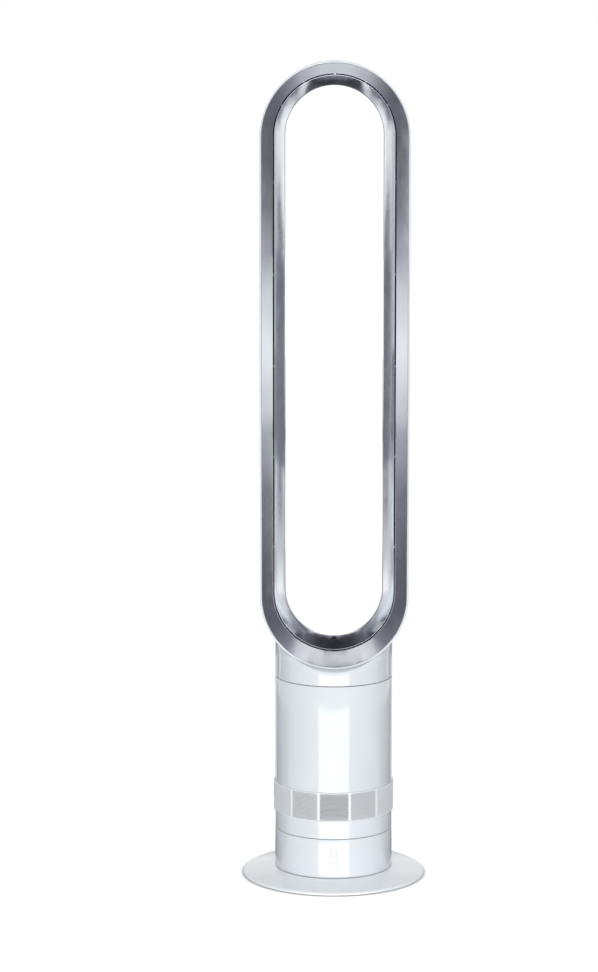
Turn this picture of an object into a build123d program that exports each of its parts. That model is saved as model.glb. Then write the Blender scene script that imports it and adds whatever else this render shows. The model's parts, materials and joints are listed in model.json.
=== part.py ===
from build123d import *
import os
from math import acos, asin, atan2, cos, pi, radians, sin, sqrt, tan

# A bladeless tower fan in millimetres, +Z up. The origin is the middle of the footprint on the floor
# and the front faces -Y. A fixed foot carries a turning column, and the column carries a tall air loop.

os.makedirs("parts", exist_ok=True)

# ---- Driving dimensions: outside of the object ----
HEIGHT = 1007.0
BASE_RADIUS = 112.5
BODY_RADIUS = 72.5
FOOT_SEAM = 11.5  # joint between the foot plate and the control ring
LOWER_SEAM = 60.5  # joint between the fixed ring and the turning column
INTAKE_LOW = 83.5
INTAKE_HIGH = 119.0
UPPER_SEAM = 251.7  # joint between the body and the collar
LOOP_LOW = 269.5  # lowest point of the loop
LOOP_HALF_WIDTH = 90.6
LOOP_DEPTH = 110.0
THROAT_RADIUS = 59.2  # half width of the opening at its narrowest
SLOT_RADIUS = 73.6  # half width of the silver band where the air slot opens
SLOT_DEPTH = 35.0  # from the front of the loop back to the air slot
BELL_SLOPE = radians(30)  # of the cone that leads from the slot into the throat
BELL_ROUND = 10.0  # between the cone and the throat
BACK_ROUND = 12.0

# ---- Walls, gaps and clearances ----
SEAM_GAP = 0.6
BODY_WALL = 2.5
LOOP_WALL = 2.4
BAND_WALL = 2.0
FIT_GAP = 0.1  # between pieces that are glued or snapped together
LOOSE_GAP = 0.2  # between pieces that slide into each other
RUNNING_GAP = 0.06  # radial, round a turning shaft
TURNING_GAP = 0.5  # between pieces that turn past each other
SPIGOT_WALL = 2.3

# ---- Fasteners ----
SCREW_RADIUS = 1.5
SCREW_HOLE = 1.7
HEAD_RADIUS = 2.8
HEAD_HEIGHT = 1.8
BOSS_RADIUS = 4.0

# ---- Foot ----
FLOOR_GAP = 1.2  # the foot plate's rim above the floor
RIM_TOP = 4.4
RIM_WIDTH = 4.7
PLATE_WALL = 2.2
PAD_RADIUS = 6.0
PAD_HEIGHT = 2.0
PAD_COUNT = 8
PAD_INSET = 15.5  # from the foot's edge in to the middle of a pad
COVER_THICKNESS = 1.6
WEIGHT_THICKNESS = 2.8
WEIGHT_INSET = 22.5  # from the foot's edge in to the ballast
WEIGHT_BORE = 22.0
COVER_SCREWS = 6
COVER_SCREW_INSET = 12.5  # from the body's face in to the cover screws
COVER_SCREW_LENGTH = 6.5
CONE_HEIGHT = 1.3  # countersunk head of a cover screw

# ---- Control ring and what it holds ----
RING_SCREW_INSET = 7.5  # from the body's face in to the ring and deck screws
RING_SCREW_LENGTH = 10.0
RING_SCREWS = 4
RING_BOSS_HEIGHT = 13.0
LEDGE_HEIGHT = 2.3
LEDGE_WIDTH = 3.5
DECK_THICKNESS = 2.5
DECK_BOSS_HEIGHT = 12.0
DECK_SCREW_LENGTH = 8.0
SPINDLE_RADIUS = 14.0
SPINDLE_BORE = 10.5
BUTTON_RADIUS = 6.0
BUTTON_HEIGHT = 27.0
BUTTON_TRAVEL = 0.8
BUTTON_FLANGE = 1.2
BUTTON_BODY_DEPTH = 4.2  # from the ring's face to the back of the cap
STEM_RADIUS = 1.8
BOARD_THICKNESS = 1.6
DISPLAY_BOARD_DEPTH = 12.5  # from the ring's face to the front of the display board
DISPLAY_BOARD_WIDTH = 42.0
DISPLAY_POST_RADIUS = 3.0
DISPLAY_SCREW_LENGTH = 7.5
BOARD_NOTCH_GAP = 1.0  # round the display board, in the deck's ledge
DISPLAY_BOARD_LOW = 16.0
DISPLAY_MID_HEIGHT = 43.2
DISPLAY_WIDTH = 17.0
DISPLAY_HEIGHT = 13.6
DISPLAY_DEPTH = 8.4
WINDOW_WALL = 1.2  # the ring's wall in front of the display
SWITCH_SIZE = 6.0
SWITCH_DEPTH = 4.0
PLUNGER_RADIUS = 1.6
PLUNGER_LENGTH = 1.0
RECEIVER_RADIUS = 2.6
RECEIVER_OFFSET = 14.0
RECEIVER_ROUND = 2.0
MAIN_BOARD_WIDTH = 84.0
MAIN_BOARD_LENGTH = 56.0
MAIN_BOARD_BACK = 16.0  # rear edge of the main board, behind the axis
STANDOFF_HEIGHT = 3.5
STANDOFF_RADIUS = 3.0
GLAND_HEIGHT = 24.0
GLAND_RADIUS = 6.0
GLAND_FLANGE = 8.0
GLAND_BORE = 3.25
GLAND_ROUND = 0.8

# ---- Oscillation drive ----
GEAR_MODULE = 1.0
GEAR_TEETH = 60
PINION_TEETH = 18
PRESSURE_ANGLE = radians(20)
BACKLASH = 0.3
GEAR_HEIGHT = 3.9
PINION_HEIGHT = 3.5
STEPPER_RADIUS = 14.0
STEPPER_HEIGHT = 19.0
STEPPER_SHAFT_RADIUS = 2.5
STEPPER_SOCKET = 5.0
EAR_REACH = 17.5
EAR_THICKNESS = 1.5
GLIDE_INSET = 7.0  # from the body's face in to the glide ring
GLIDE_WIDTH = 6.0

# ---- Turning column ----
TURNTABLE_THICKNESS = 3.0
SLEEVE_WALL = 3.5
SLEEVE_HEIGHT = 11.0
CLIP_HEIGHT = 1.2
CLIP_WIDTH = 4.0
CLIP_MOUTH = 4.0
CLIP_GROOVE = 1.0
SPINDLE_TIP = 3.0
TURNTABLE_SCREWS = 6
TURNTABLE_SCREW_INSET = 6.5
TURNTABLE_SCREW_LENGTH = 4.5
COLUMN_LEDGE_WIDTH = 7.5
COLUMN_LEDGE_HEIGHT = 2.5
GRILLE_PROUD = 1.6  # how far the intake band stands out from the body
GRILLE_WALL = 2.2
GRILLE_PANELS = 12
GRILLE_POST = 3.0
GRILLE_ROWS = 8
GRILLE_COLUMNS = 3
GRILLE_BORDER = 2.6
GRILLE_BAR = 1.5
SPIGOT_REACH = 2.5
SHELF_HEIGHT = 7.3  # underside of the shelf above the intake
SHELF_THICKNESS = 2.5
SHELF_WIDTH = 8.0

# ---- Air path in the body ----
MOUNT_HEIGHT = 3.0
FLANGE_THICKNESS = 2.5
INLET_RADIUS = 44.0
MOUTH_RADIUS = 8.0
NECK_HEIGHT = 4.5
NECK_WALL = 1.8
HOUSING_INSET = 11.0  # from the body's face in to the air path
HOUSING_WALL = 2.0
HOUSING_TOP = 240.0
SHROUD_HEIGHT = 36.0
SHROUD_WALL = 1.8
FOAM_GAP = 0.3
FOAM_TOP_MARGIN = 4.0
TIP_GAP = 1.0
IMPELLER_HEIGHT = 30.5
BLADE_COUNT = 9
BLADE_THICKNESS = 1.6
BLADE_LEAN = radians(50)
BLADE_MID_LEAN = radians(12)
BLADE_MID_REACH = 0.55  # where the blade's middle lies, as a share of its reach
HUB_NOSE = 14.0
HUB_RADIUS = 41.0
HUB_WALL = 2.4
BUCKET_RADIUS = 42.0
BUCKET_WALL = 2.5
BUCKET_HEIGHT = 47.0
BUCKET_CLEARANCE = 4.0  # from the impeller's back up to the bucket
DOME_HEIGHT = 27.0
DOME_WALL = 2.0
VANE_COUNT = 11
VANE_THICKNESS = 1.6
VANE_HEIGHT = 32.0
VANE_RING = 1.8
VANE_LEAN = 30.0
SEAL_HEIGHT = 5.0
DUCT_RADIUS = 42.0
DUCT_WALL = 2.2
FUNNEL_HEIGHT = 14.0

# ---- Motor ----
SHAFT_RADIUS = 3.0
BEARING_RADIUS = 9.5
BEARING_HEIGHT = 6.0
BEARING_SEAT = 2.5
CAN_RADIUS = 32.0
CAN_WALL = 1.8
CAN_FLOOR = 2.0
CAN_HEIGHT = 38.0
ROTOR_RADIUS = 12.0
ROTOR_GAP = 0.6
ROTOR_MARGIN = 2.0
STATOR_YOKE = 5.0
STATOR_TEETH = 9
TOOTH_WIDTH = 4.0
COIL_WALL = 2.0
COIL_MARGIN = 2.2
ISOLATOR_LIP = 2.0
ISOLATOR_LIP_WIDTH = 6.0
ISOLATOR_HEIGHT = 8.0
DRIVE_BOARD_RADIUS = 34.0
DRIVE_BOARD_BORE = 8.0
DRIVE_BOARD_STANDOFF = 1.0
NUT_FLATS = 10.0
NUT_HEIGHT = 4.0

# ---- Loop ----
COLLAR_GAP = 0.15
COLLAR_TOP_WALL = 2.4
COLLAR_SPIGOT = 13.0
LIP_THICKNESS = 0.5
LIP_TAPER = 5.0
SLOT_GAP = 0.7
FLARE_BULGE = 0.3
FLARE_INSET = 0.6  # the band's front edge behind the shell's lip
CURL_DEPTH = 12.0
CURL_RISE = 5.6
FLARE_SEAT = 10.0
POST_RADIUS = 2.5
POST_SPACING = 100.0
SPACER_COUNT_PER_LEG = 5
SPACER_WIDTH = 2.0
SPACER_DEPTH = 2.6
SPLITTER_DEPTH = 12.0
SPLITTER_HALF_WIDTH = 15.0
SPLITTER_DROP = 18.0
LOOP_SCREW_INSET = 20.5
LOOP_SCREW_Y = (8.0, 34.0)
LOOP_BOSS_TOP = 29.0
HOLDER_HALF_WIDTH = 26.0
HOLDER_DROP = 8.0
HOLDER_MARGIN = 2.0
MAGNET_RADIUS = 5.0
MAGNET_HEIGHT = 3.0
MAGNET_OFFSET = 15.0

# ---- Heights that follow from the seams ----
plate_top = FOOT_SEAM - SEAM_GAP / 2
ring_low = FOOT_SEAM + SEAM_GAP / 2
ring_top = LOWER_SEAM - SEAM_GAP / 2
column_low = LOWER_SEAM + SEAM_GAP / 2
shell_top = UPPER_SEAM - SEAM_GAP / 2
collar_low = UPPER_SEAM + SEAM_GAP / 2
body_inner = BODY_RADIUS - BODY_WALL
cover_top = FLOOR_GAP + COVER_THICKNESS
cover_radius = BASE_RADIUS - RIM_WIDTH - LOOSE_GAP
housing_radius = BODY_RADIUS - HOUSING_INSET
glide_outer = BODY_RADIUS - GLIDE_INSET
weight_top = cover_top + WEIGHT_THICKNESS
turntable_low = column_low - TURNTABLE_THICKNESS
turntable_radius = body_inner - 2 * LOOSE_GAP
gear_low = turntable_low - GEAR_HEIGHT
deck_top = gear_low - TURNING_GAP
deck_low = deck_top - DECK_THICKNESS
deck_radius = body_inner - LOOSE_GAP
sleeve_top = column_low + SLEEVE_HEIGHT
clip_low = sleeve_top + LOOSE_GAP
spindle_top = clip_low + CLIP_HEIGHT + SPINDLE_TIP
gear_distance = GEAR_MODULE * (GEAR_TEETH + PINION_TEETH) / 2
spigot_outer = body_inner + BODY_WALL - GRILLE_WALL + GRILLE_PROUD - LOOSE_GAP
spigot_inner = spigot_outer - SPIGOT_WALL
grille_outer = BODY_RADIUS + GRILLE_PROUD
grille_inner = grille_outer - GRILLE_WALL
shell_low = INTAKE_HIGH + SEAM_GAP / 2
lower_ring_top = INTAKE_LOW - SEAM_GAP / 2
shelf_low = INTAKE_HIGH + SHELF_HEIGHT - SHELF_THICKNESS
shelf_top = shelf_low + SHELF_THICKNESS
flange_low = shelf_top + MOUNT_HEIGHT
flange_top = flange_low + FLANGE_THICKNESS
flange_radius = body_inner - 3 * LOOSE_GAP
neck_top = flange_low + MOUTH_RADIUS + NECK_HEIGHT
neck_outer = INLET_RADIUS + NECK_WALL
shroud_low = neck_top - NECK_HEIGHT / 2
shroud_top = shroud_low + SHROUD_HEIGHT
shroud_inlet = neck_outer + FIT_GAP
impeller_low = neck_top + TIP_GAP
impeller_top = impeller_low + IMPELLER_HEIGHT
bucket_low = impeller_top + BUCKET_CLEARANCE
bucket_top = bucket_low + BUCKET_HEIGHT
can_low = bucket_low + BUCKET_WALL + ISOLATOR_LIP
can_top = can_low + CAN_HEIGHT
bearing_low = can_low + CAN_FLOOR
bearing_high = can_top - BEARING_HEIGHT
rotor_low = bearing_low + BEARING_HEIGHT + ROTOR_MARGIN
rotor_top = bearing_high - ROTOR_MARGIN
bell_top = can_top + CAN_FLOOR
drive_board_low = bell_top + DRIVE_BOARD_STANDOFF
duct_low = HOUSING_TOP + SEAL_HEIGHT
duct_flange_top = duct_low + FLANGE_THICKNESS
loop_low_centre = LOOP_LOW + LOOP_HALF_WIDTH
loop_top_centre = HEIGHT - LOOP_HALF_WIDTH
loop_front = -LOOP_DEPTH / 2
loop_inner = LOOP_HALF_WIDTH - LOOP_WALL
back_centre = LOOP_DEPTH / 2 - BACK_ROUND
back_middle = LOOP_HALF_WIDTH - BACK_ROUND
slot_y = loop_front + SLOT_DEPTH
lip_outer = SLOT_RADIUS - SLOT_GAP
lip_inner = lip_outer - LIP_THICKNESS
cone_end_r = THROAT_RADIUS + BELL_ROUND * (1 - cos(BELL_SLOPE))
cone_end_y = slot_y + (lip_inner - cone_end_r) / tan(BELL_SLOPE)
throat_y = cone_end_y + BELL_ROUND * sin(BELL_SLOPE)
# The diffuser's arc starts along the throat and ends on the rounded back without a corner.
diffuser_reach = back_centre - throat_y
diffuser_offset = back_middle - THROAT_RADIUS
diffuser_round = (diffuser_reach**2 + diffuser_offset**2 - BACK_ROUND**2) / (2 * (diffuser_offset - BACK_ROUND))
diffuser_centre = THROAT_RADIUS + diffuser_round
diffuser_slope = asin(diffuser_reach / (diffuser_round - BACK_ROUND))


def save(piece, name):
    """Labels one finished piece and writes it."""
    piece.part.label = name
    export_step(piece.part, f"parts/{name}.step")


def disc(radius, low, high, bore=0.0, mode=Mode.ADD):
    """An upright disc, or a ring where it has a bore, on the main axis."""
    with BuildSketch(Plane.XY.offset(low)) as section:
        Circle(radius)
        if bore:
            Circle(bore, mode=Mode.SUBTRACT)
    extrude(section.sketch, amount=high - low, mode=mode)


def posts(points, radius, low, high, mode=Mode.ADD):
    """Upright round posts, or holes, at the given places."""
    with BuildSketch(Plane.XY.offset(low)) as section:
        with Locations(*points):
            Circle(radius)
    extrude(section.sketch, amount=high - low, mode=mode)


def turned(points, mode=Mode.ADD):
    """A closed outline of (radius, height) points, turned round the main axis."""
    with BuildSketch(Plane.XZ) as section:
        with BuildLine():
            Polyline(*points, close=True)
        make_face()
    revolve(section.sketch, axis=Axis.Z, mode=mode)


def block(x_range, y_range, z_range, mode=Mode.ADD):
    """A square-edged block between two corners."""
    centre = ((x_range[0] + x_range[1]) / 2, (y_range[0] + y_range[1]) / 2)
    with BuildSketch(Plane.XY.offset(z_range[0])) as section:
        with Locations(centre):
            Rectangle(x_range[1] - x_range[0], y_range[1] - y_range[0])
    extrude(section.sketch, amount=z_range[1] - z_range[0], mode=mode)


def facing_rod(x, z, radius, front, back, mode=Mode.ADD):
    """A round rod or hole along Y, from its front end to its back end."""
    with BuildSketch(Plane.XZ.offset(-front)) as section:
        with Locations((x, z)):
            Circle(radius)
    extrude(section.sketch, amount=front - back, mode=mode)


def cylinder_along_y(radius, mode=Mode.SUBTRACT):
    """The loop's lower turn as a full cylinder through the collar, along Y."""
    with BuildSketch(Plane.XZ.offset(-BASE_RADIUS)) as section:
        with Locations((0, loop_low_centre)):
            Circle(radius)
    extrude(section.sketch, amount=2 * BASE_RADIUS, both=True, mode=mode)


def circle_points(count, radius, start=0.0):
    """Evenly spaced places on a circle, the first at the start angle in degrees."""
    angles = [radians(start + 360 * i / count) for i in range(count)]
    return [(radius * cos(a), radius * sin(a)) for a in angles]


def screws(points, seat, length, up):
    """Pan-head screws: each head stands on the seat height and its shank goes up or down."""
    turn = 1 if up else -1
    posts(points, HEAD_RADIUS, min(seat, seat - turn * HEAD_HEIGHT), max(seat, seat - turn * HEAD_HEIGHT))
    posts(points, SCREW_RADIUS, min(seat, seat + turn * length), max(seat, seat + turn * length))


# ================= Foot =================

cover_screw_places = circle_points(COVER_SCREWS, BODY_RADIUS - COVER_SCREW_INSET, 30)
ring_screw_places = circle_points(RING_SCREWS, BODY_RADIUS - RING_SCREW_INSET, 45)
standoff_x = MAIN_BOARD_WIDTH / 2 - BOSS_RADIUS
standoff_front = MAIN_BOARD_BACK - MAIN_BOARD_LENGTH + BOSS_RADIUS
standoff_back = MAIN_BOARD_BACK - BOSS_RADIUS
standoff_places = [(x, y) for x in (-standoff_x, standoff_x) for y in (standoff_front, standoff_back)]
main_board_low = plate_top + STANDOFF_HEIGHT

# Foot plate: a low dished disc with a rounded rim, a flat middle for the ring, and bosses below.
with BuildPart() as base_plate:
    shoulder = BODY_RADIUS + 1.2
    rim_round = 1.2
    turned(
        [
            (0, plate_top),
            (shoulder, plate_top),
            (BASE_RADIUS - rim_round, RIM_TOP),
            (BASE_RADIUS, RIM_TOP - rim_round),
            (BASE_RADIUS, FLOOR_GAP),
            (BASE_RADIUS - RIM_WIDTH, FLOOR_GAP),
            (BASE_RADIUS - RIM_WIDTH, cover_top + FIT_GAP),
            (shoulder, plate_top - PLATE_WALL),
            (0, plate_top - PLATE_WALL),
        ]
    )
    posts(cover_screw_places, BOSS_RADIUS, cover_top, plate_top - PLATE_WALL / 2)
    posts(standoff_places, STANDOFF_RADIUS, plate_top - PLATE_WALL / 2, main_board_low)
    posts(cover_screw_places, SCREW_RADIUS, cover_top, cover_top + COVER_SCREW_LENGTH, Mode.SUBTRACT)
    posts(ring_screw_places, SCREW_HOLE, plate_top - 2 * PLATE_WALL, plate_top, Mode.SUBTRACT)
    posts(standoff_places, SCREW_RADIUS, plate_top, main_board_low, Mode.SUBTRACT)
save(base_plate, "base_plate")

# Ballast: a steel ring that lies on the bottom cover, with holes for the bosses.
with BuildPart() as base_weight:
    disc(BASE_RADIUS - WEIGHT_INSET, cover_top, weight_top, WEIGHT_BORE)
    posts(cover_screw_places, BOSS_RADIUS + LOOSE_GAP, cover_top, weight_top, Mode.SUBTRACT)
save(base_weight, "base_weight")

pad_places = circle_points(PAD_COUNT, BASE_RADIUS - PAD_INSET, 22.5)
with BuildPart() as base_cover:
    disc(cover_radius, FLOOR_GAP, cover_top)
    posts(pad_places, PAD_RADIUS + FIT_GAP, FLOOR_GAP, PAD_HEIGHT, Mode.SUBTRACT)
    with Locations(Plane.XY.offset(FLOOR_GAP).rotated((180, 0, 0))):
        with Locations(*[(x, -y) for x, y in cover_screw_places]):
            CounterSinkHole(SCREW_HOLE, SCREW_HOLE + CONE_HEIGHT, COVER_THICKNESS, 90)
save(base_cover, "base_cover")

# Rubber pads, each with a softened lower edge.
with BuildPart() as foot_pads:
    posts(pad_places, PAD_RADIUS, 0, PAD_HEIGHT)
    chamfer(foot_pads.faces().filter_by(Plane.XY).group_by(Axis.Z)[0].edges(), 0.4)
save(foot_pads, "foot_pads")

# Countersunk screws, their heads flush with the cover.
with BuildPart() as base_cover_screws:
    head_low = FLOOR_GAP + FIT_GAP
    posts(cover_screw_places, SCREW_RADIUS, head_low, cover_top + COVER_SCREW_LENGTH - FIT_GAP)
    for place in cover_screw_places:
        with BuildSketch(Plane.XY.offset(head_low)) as wide:
            with Locations(place):
                Circle(SCREW_RADIUS + CONE_HEIGHT)
        extrude(wide.sketch, amount=CONE_HEIGHT, taper=45)
save(base_cover_screws, "base_cover_screws")

# ================= Control ring =================

deck_screw_places = circle_points(RING_SCREWS, BODY_RADIUS - RING_SCREW_INSET, 30)
ring_boss_top = plate_top + RING_BOSS_HEIGHT
ledge_low = deck_low - LEDGE_HEIGHT
deck_boss_low = deck_low - DECK_BOSS_HEIGHT
board_front = -BODY_RADIUS + DISPLAY_BOARD_DEPTH
board_back = board_front + BOARD_THICKNESS
board_top = deck_low - LOOSE_GAP
display_half = DISPLAY_WIDTH / 2
board_half = DISPLAY_BOARD_WIDTH / 2
display_low = DISPLAY_MID_HEIGHT - DISPLAY_HEIGHT / 2
display_top = DISPLAY_MID_HEIGHT + DISPLAY_HEIGHT / 2
display_post_x = board_half - BOSS_RADIUS
display_post_z = (BUTTON_HEIGHT + display_low) / 2
display_front = board_front - DISPLAY_DEPTH

# Control ring: the fixed part of the body, with a ledge for the deck and a thin wall at the display.
with BuildPart() as control_ring:
    disc(BODY_RADIUS, ring_low, ring_top, body_inner)
    disc(body_inner + BODY_WALL / 4, plate_top, ring_low + BODY_WALL, body_inner - BODY_WALL)
    disc(body_inner + BODY_WALL / 4, ledge_low, deck_low, body_inner - LEDGE_WIDTH)
    posts(ring_screw_places, BOSS_RADIUS, plate_top, ring_boss_top)
    posts(deck_screw_places, BOSS_RADIUS, deck_boss_low, deck_low)
    notch_half = board_half + BOARD_NOTCH_GAP
    block((-notch_half, notch_half), (-body_inner, board_back), (ledge_low, deck_low), Mode.SUBTRACT)
    window_y = -BODY_RADIUS + WINDOW_WALL
    block((-display_half, display_half), (window_y, board_front), (display_low, display_top), Mode.SUBTRACT)
    for side in (-1, 1):
        x = side * display_post_x
        facing_rod(x, display_post_z, DISPLAY_POST_RADIUS, FIT_GAP - body_inner, board_front)
        screw_end = board_back - DISPLAY_SCREW_LENGTH
        facing_rod(x, display_post_z, SCREW_RADIUS, screw_end, board_front, Mode.SUBTRACT)
    facing_rod(0, BUTTON_HEIGHT, BUTTON_RADIUS + LOOSE_GAP, -BASE_RADIUS, board_front, Mode.SUBTRACT)
    facing_rod(0, GLAND_HEIGHT, GLAND_RADIUS + FIT_GAP, body_inner - BODY_WALL, BASE_RADIUS, Mode.SUBTRACT)
    posts(ring_screw_places, SCREW_RADIUS, plate_top, plate_top + RING_SCREW_LENGTH, Mode.SUBTRACT)
    posts(deck_screw_places, SCREW_RADIUS, deck_low - DECK_SCREW_LENGTH, deck_low, Mode.SUBTRACT)
save(control_ring, "control_ring")

with BuildPart() as control_ring_screws:
    screws(ring_screw_places, plate_top - PLATE_WALL, PLATE_WALL + RING_SCREW_LENGTH - FIT_GAP, up=True)
save(control_ring_screws, "control_ring_screws")

# Power button: a round cap that follows the ring's face, a flange that keeps it in, and a stem.
cap_back = -BODY_RADIUS + BUTTON_BODY_DEPTH
plunger_tip = board_front - SWITCH_DEPTH - PLUNGER_LENGTH
with BuildPart() as power_button:
    facing_rod(0, BUTTON_HEIGHT, BUTTON_RADIUS, -BASE_RADIUS, cap_back)
    disc(BODY_RADIUS, ring_low, ring_top, mode=Mode.INTERSECT)
    facing_rod(0, BUTTON_HEIGHT, BUTTON_RADIUS + BUTTON_FLANGE, cap_back - BUTTON_FLANGE, cap_back)
    facing_rod(0, BUTTON_HEIGHT, STEM_RADIUS, cap_back, plunger_tip - BUTTON_TRAVEL - FIT_GAP)
save(power_button, "power_button")

with BuildPart() as display_board:
    block((-board_half, board_half), (board_front, board_back), (DISPLAY_BOARD_LOW, board_top))
    for side in (-1, 1):
        facing_rod(side * display_post_x, display_post_z, SCREW_HOLE, board_front, board_back, Mode.SUBTRACT)
save(display_board, "display_board")

with BuildPart() as led_display:
    inset = LOOSE_GAP
    block(
        (-display_half + inset, display_half - inset),
        (display_front, board_front),
        (display_low + inset, display_top - inset),
    )
save(led_display, "led_display")

with BuildPart() as tact_switch:
    half = SWITCH_SIZE / 2
    switch_front = board_front - SWITCH_DEPTH
    block((-half, half), (switch_front, board_front), (BUTTON_HEIGHT - half, BUTTON_HEIGHT + half))
    facing_rod(0, BUTTON_HEIGHT, PLUNGER_RADIUS, plunger_tip, switch_front)
save(tact_switch, "tact_switch")

with BuildPart() as ir_receiver:
    receiver_front = board_front - 2 * RECEIVER_RADIUS
    facing_rod(RECEIVER_OFFSET, DISPLAY_MID_HEIGHT, RECEIVER_RADIUS, receiver_front, board_front)
    fillet(ir_receiver.faces().sort_by(Axis.Y)[0].edges(), RECEIVER_ROUND)
save(ir_receiver, "ir_receiver")

# Main board on the plate's standoffs, with a transformer, two capacitors, a filter coil and a socket.
with BuildPart() as main_board:
    board_front_edge = MAIN_BOARD_BACK - MAIN_BOARD_LENGTH
    main_board_top = main_board_low + BOARD_THICKNESS
    half = MAIN_BOARD_WIDTH / 2
    block((-half, half), (board_front_edge, MAIN_BOARD_BACK), (main_board_low, main_board_top))
    posts(standoff_places, SCREW_HOLE, main_board_low, main_board_top, Mode.SUBTRACT)
save(main_board, "main_board")

TRANSFORMER = ((-26.0, -4.0), (-30.0, -10.0), 17.0)
SOCKET = ((-12.0, 12.0), (6.0, 13.0), 8.0)
FILTER_COIL = ((24.0, -24.0), 7.0, 12.0)
CAPACITORS = (((8.0, -24.0), 6.0, 18.0), ((24.0, -6.0), 5.0, 14.0))
with BuildPart() as main_board_parts:
    for x_range, y_range, height in (TRANSFORMER, SOCKET):
        block(x_range, y_range, (main_board_top, main_board_top + height))
    for place, radius, height in (FILTER_COIL, *CAPACITORS):
        posts([place], radius, main_board_top, main_board_top + height)
save(main_board_parts, "main_board_parts")

# Deck: carries the spindle, the glide ring and the stepper motor, and rests on the ring's ledge.
stepper_place = (0, gear_distance)
ear_places = [(-EAR_REACH, gear_distance), (EAR_REACH, gear_distance)]
with BuildPart() as chassis_deck:
    disc(deck_radius, deck_low, deck_top)
    disc(SPINDLE_RADIUS, deck_low, spindle_top)
    disc(SPINDLE_BORE, deck_low, spindle_top, mode=Mode.SUBTRACT)
    disc(SPINDLE_RADIUS, clip_low, clip_low + CLIP_HEIGHT, SPINDLE_RADIUS - CLIP_GROOVE, Mode.SUBTRACT)
    posts([stepper_place], STEPPER_SHAFT_RADIUS + TURNING_GAP, deck_low, deck_top, Mode.SUBTRACT)
    posts(ear_places, SCREW_RADIUS, deck_low, deck_top, Mode.SUBTRACT)
    posts(deck_screw_places, SCREW_HOLE, deck_low, deck_top, Mode.SUBTRACT)
    posts(deck_screw_places, HEAD_RADIUS + LOOSE_GAP, deck_top - HEAD_HEIGHT, deck_top, Mode.SUBTRACT)
save(chassis_deck, "chassis_deck")

# Glide ring: a low-friction ring that the turntable rests on, notched round the deck's screws.
glide_top = turntable_low - LOOSE_GAP
with BuildPart() as glide_ring:
    disc(glide_outer, deck_top, glide_top, glide_outer - GLIDE_WIDTH)
    posts(deck_screw_places, HEAD_RADIUS + LOOSE_GAP, deck_top, glide_top, Mode.SUBTRACT)
save(glide_ring, "glide_ring")

# Circlip: an open ring in the spindle's groove, which keeps the turntable down.
with BuildPart() as spindle_circlip:
    clip_inner = SPINDLE_RADIUS - CLIP_GROOVE + FIT_GAP
    clip_high = clip_low + CLIP_HEIGHT - FIT_GAP
    disc(clip_inner + CLIP_WIDTH, clip_low, clip_high, clip_inner)
    mouth = CLIP_MOUTH / 2
    block((-mouth, mouth), (0, clip_inner + 2 * CLIP_WIDTH), (clip_low, clip_high), Mode.SUBTRACT)
save(spindle_circlip, "spindle_circlip")

with BuildPart() as stepper_motor:
    posts([stepper_place], STEPPER_RADIUS, deck_low - STEPPER_HEIGHT, deck_low)
    with BuildSketch(Plane.XY.offset(deck_low - EAR_THICKNESS)) as ears:
        with Locations(stepper_place):
            SlotOverall(2 * (EAR_REACH + BOSS_RADIUS), 2 * BOSS_RADIUS)
    extrude(ears.sketch, amount=EAR_THICKNESS)
    socket_low = deck_low - STEPPER_SOCKET
    posts([stepper_place], STEPPER_SHAFT_RADIUS + RUNNING_GAP, socket_low, deck_low, Mode.SUBTRACT)
    posts(ear_places, SCREW_HOLE, deck_low - EAR_THICKNESS, deck_low, Mode.SUBTRACT)
save(stepper_motor, "stepper_motor")

# The small screws of the fixed part: stepper ears, deck, main board and display board.
with BuildPart() as chassis_screws:
    screws(ear_places, deck_low - EAR_THICKNESS, EAR_THICKNESS + DECK_THICKNESS, up=True)
    screws(deck_screw_places, deck_top - HEAD_HEIGHT, DECK_SCREW_LENGTH, up=False)
    screws(standoff_places, main_board_top, BOARD_THICKNESS + STANDOFF_HEIGHT - FIT_GAP, up=False)
    for side in (-1, 1):
        x = side * display_post_x
        facing_rod(x, display_post_z, HEAD_RADIUS, board_back, board_back + HEAD_HEIGHT)
        facing_rod(x, display_post_z, SCREW_RADIUS, screw_end + FIT_GAP, board_back)
save(chassis_screws, "chassis_screws")

# Cable gland: a rubber grommet through the ring's rear wall.
with BuildPart() as cable_gland:
    gland_inner = body_inner - BODY_WALL
    gland_outer = BODY_RADIUS + BODY_WALL
    facing_rod(0, GLAND_HEIGHT, GLAND_RADIUS, gland_inner, gland_outer)
    facing_rod(0, GLAND_HEIGHT, GLAND_FLANGE, BODY_RADIUS + FIT_GAP, gland_outer)
    flange_back = sqrt(body_inner**2 - GLAND_FLANGE**2) - FIT_GAP
    facing_rod(0, GLAND_HEIGHT, GLAND_FLANGE, gland_inner, flange_back)
    fillet(cable_gland.faces().sort_by(Axis.Y)[-1].edges(), GLAND_ROUND)
    facing_rod(0, GLAND_HEIGHT, GLAND_BORE, gland_inner, gland_outer, Mode.SUBTRACT)
save(cable_gland, "cable_gland")

# ================= Oscillation drive =================


def involute(angle):
    """How far an involute has unwound at this pressure angle."""
    return tan(angle) - angle


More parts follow.
